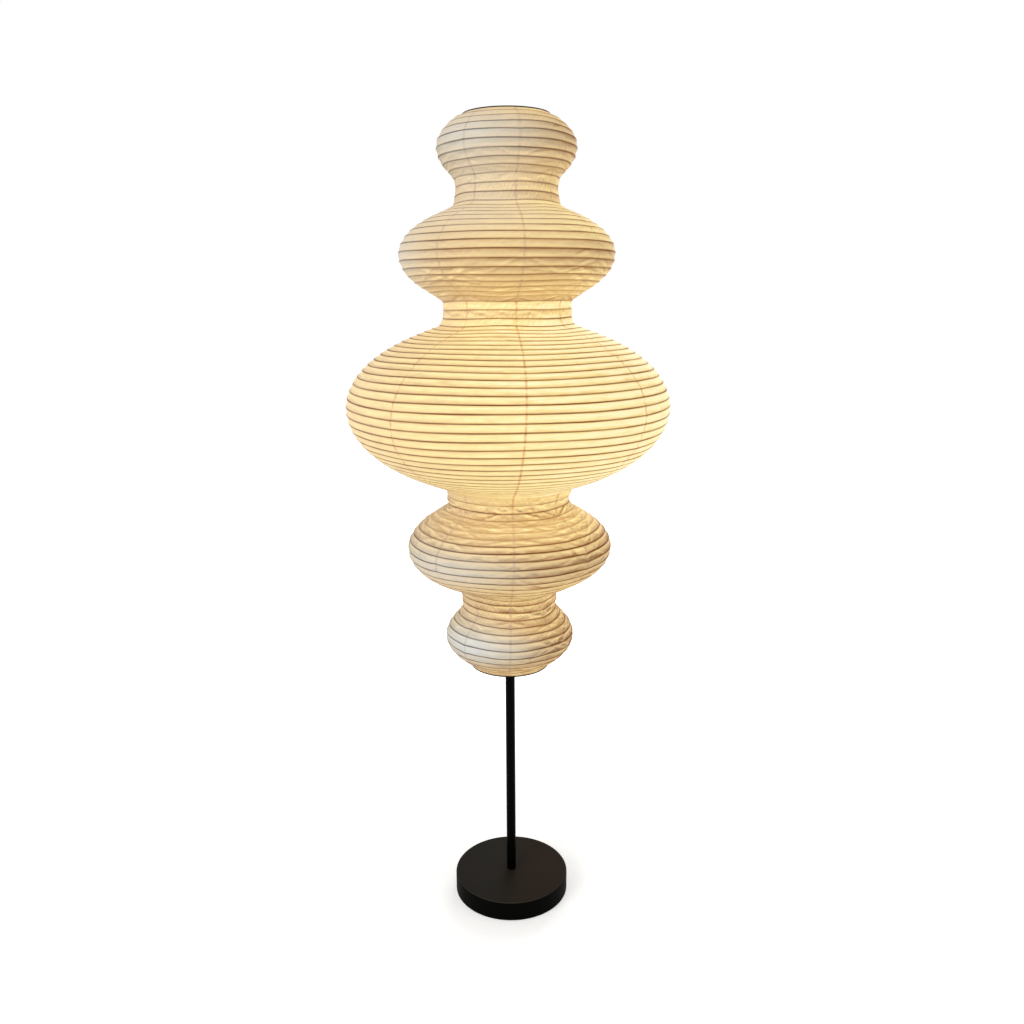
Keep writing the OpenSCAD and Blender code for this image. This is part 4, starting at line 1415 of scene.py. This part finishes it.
@dataclass
class Studio:
    """Pale floor, soft lamps, white surroundings and the camera at the photograph's angle.

    Attributes:
        camera_place: Where the camera stands, in metres.
        pitch: How far it looks down, in degrees.
        roll: How far it is tilted sideways, in degrees.
        lens: Focal length in millimetres.
        sensor: Width of the sensor in millimetres.
        sky: Strength of the even light from all sides.
        floor_half: Half the width of the floor, in metres.
        fade: Distances from the lamp between which the floor fades to white, in metres.
        floor_light: Share of white that the floor shows of itself beside the lamp.
        board: sRGB colours that the floor drifts between.
        lamps: The lamps.
    """

    camera_place: tuple[float, float, float] = (0.0058, -1.706, 1.218)
    pitch: float = 13.2
    roll: float = -0.35
    lens: float = 31.9
    sensor: float = 36.0
    sky: float = 0.45
    floor_half: float = 8.0
    fade: tuple[float, float] = (0.2, 1.1)
    floor_light: float = 0.42
    board: tuple[str, str] = ("#E9E9E8", "#EDEDEC")
    lamps: tuple[SoftLamp, ...] = (
        SoftLamp("key_lamp", (-2.2, -2.3, 2.1), size=1.9, power=50.0),
        SoftLamp("fill_lamp", (2.6, -1.6, 1.3), size=1.8, power=15.0),
        SoftLamp("back_lamp", (0.9, 3.0, 1.7), size=1.9, power=40.0))

    def build(self) -> None:
        """Builds the studio."""
        self.floor()
        self.surroundings()
        for lamp in self.lamps:
            lamp.build()
        self.camera()

    def floor(self) -> None:
        """A pale painted board, which fades to white for the camera away from the lamp's shadow."""
        mesh = bpy.data.meshes.new("studio_floor")
        half = self.floor_half
        corners = [(-half, -half, 0), (half, -half, 0), (half, half, 0), (-half, half, 0)]
        mesh.from_pydata(corners, [], [(0, 1, 2, 3)])
        board = bpy.data.objects.new("studio_floor", mesh)
        bpy.context.scene.collection.objects.link(board)
        material, tree, shader = new_material("matte_white_board")
        tone = grain(tree, 40)
        colour = add(tree, "ShaderNodeMix",
                     {"data_type": "RGBA", 6: linear(self.board[0]), 7: linear(self.board[1])},
                     {0: tone})
        tree.links.new(colour.outputs[2], shader.inputs["Base Color"])
        path = add(tree, "ShaderNodeLightPath")
        shown = add(tree, "ShaderNodeMath", {"operation": "ADD", "use_clamp": True},
                    {0: path.outputs["Is Camera Ray"], 1: path.outputs["Is Glossy Ray"]})
        place = add(tree, "ShaderNodeTexCoord")
        distance = add(tree, "ShaderNodeVectorMath", {"operation": "LENGTH"}, {0: place.outputs["Object"]})
        fade = add(tree, "ShaderNodeMapRange",
                   {"interpolation_type": "SMOOTHSTEP", "From Min": self.fade[0], "From Max": self.fade[1],
                    "To Min": self.floor_light, "To Max": 1.0}, {"Value": distance.outputs["Value"]})
        lift = add(tree, "ShaderNodeMath", {"operation": "MULTIPLY"},
                   {0: shown.outputs[0], 1: fade.outputs[0]})
        tree.links.new(lift.outputs[0], shader.inputs["Emission Strength"])
        shader.inputs["Emission Color"].default_value = (1, 1, 1, 1)
        shader.inputs["Roughness"].default_value = 0.9
        shader.inputs["Specular IOR Level"].default_value = 0.0
        mesh.materials.append(material)

    def surroundings(self) -> None:
        """Even white light, shown to the camera and in reflections as plain white."""
        world = bpy.data.worlds.new("white_studio")
        bpy.context.scene.world = world
        world.use_nodes = True
        tree = world.node_tree
        tree.nodes.clear()
        path = add(tree, "ShaderNodeLightPath")
        seen = add(tree, "ShaderNodeMath", {"operation": "MAXIMUM"},
                   {0: path.outputs["Is Camera Ray"], 1: path.outputs["Is Glossy Ray"]})
        shown = add(tree, "ShaderNodeMath", {"operation": "MAXIMUM"},
                    {0: seen.outputs[0], 1: path.outputs["Is Transmission Ray"]})
        level = add(tree, "ShaderNodeMapRange", {"To Min": self.sky, "To Max": 1.0},
                    {"Value": shown.outputs[0]})
        light = add(tree, "ShaderNodeBackground", {"Color": (1, 1, 1, 1)}, {"Strength": level.outputs[0]})
        add(tree, "ShaderNodeOutputWorld", links={"Surface": light.outputs[0]})

    def camera(self) -> None:
        """The camera, level round the lamp's front, pitched down and tilted a little."""
        data = bpy.data.cameras.new("camera")
        data.lens, data.sensor_width = self.lens, self.sensor
        camera = bpy.data.objects.new("camera", data)
        pitched = Matrix.Rotation(math.radians(90 - self.pitch), 4, "X")
        turn = pitched @ Matrix.Rotation(math.radians(self.roll), 4, "Z")
        camera.matrix_world = Matrix.Translation(self.camera_place) @ turn
        bpy.context.scene.collection.objects.link(camera)
        bpy.context.scene.camera = camera
        bpy.context.scene.view_settings.view_transform = "Standard"


def main() -> None:
    """Builds the lantern, the hardware and the studio in order."""
    logging.basicConfig(level=logging.INFO, format="%(name)s: %(message)s")
    Lantern().build()
    Hardware().build()
    Studio().build()


if __name__ == "__main__":
    main()
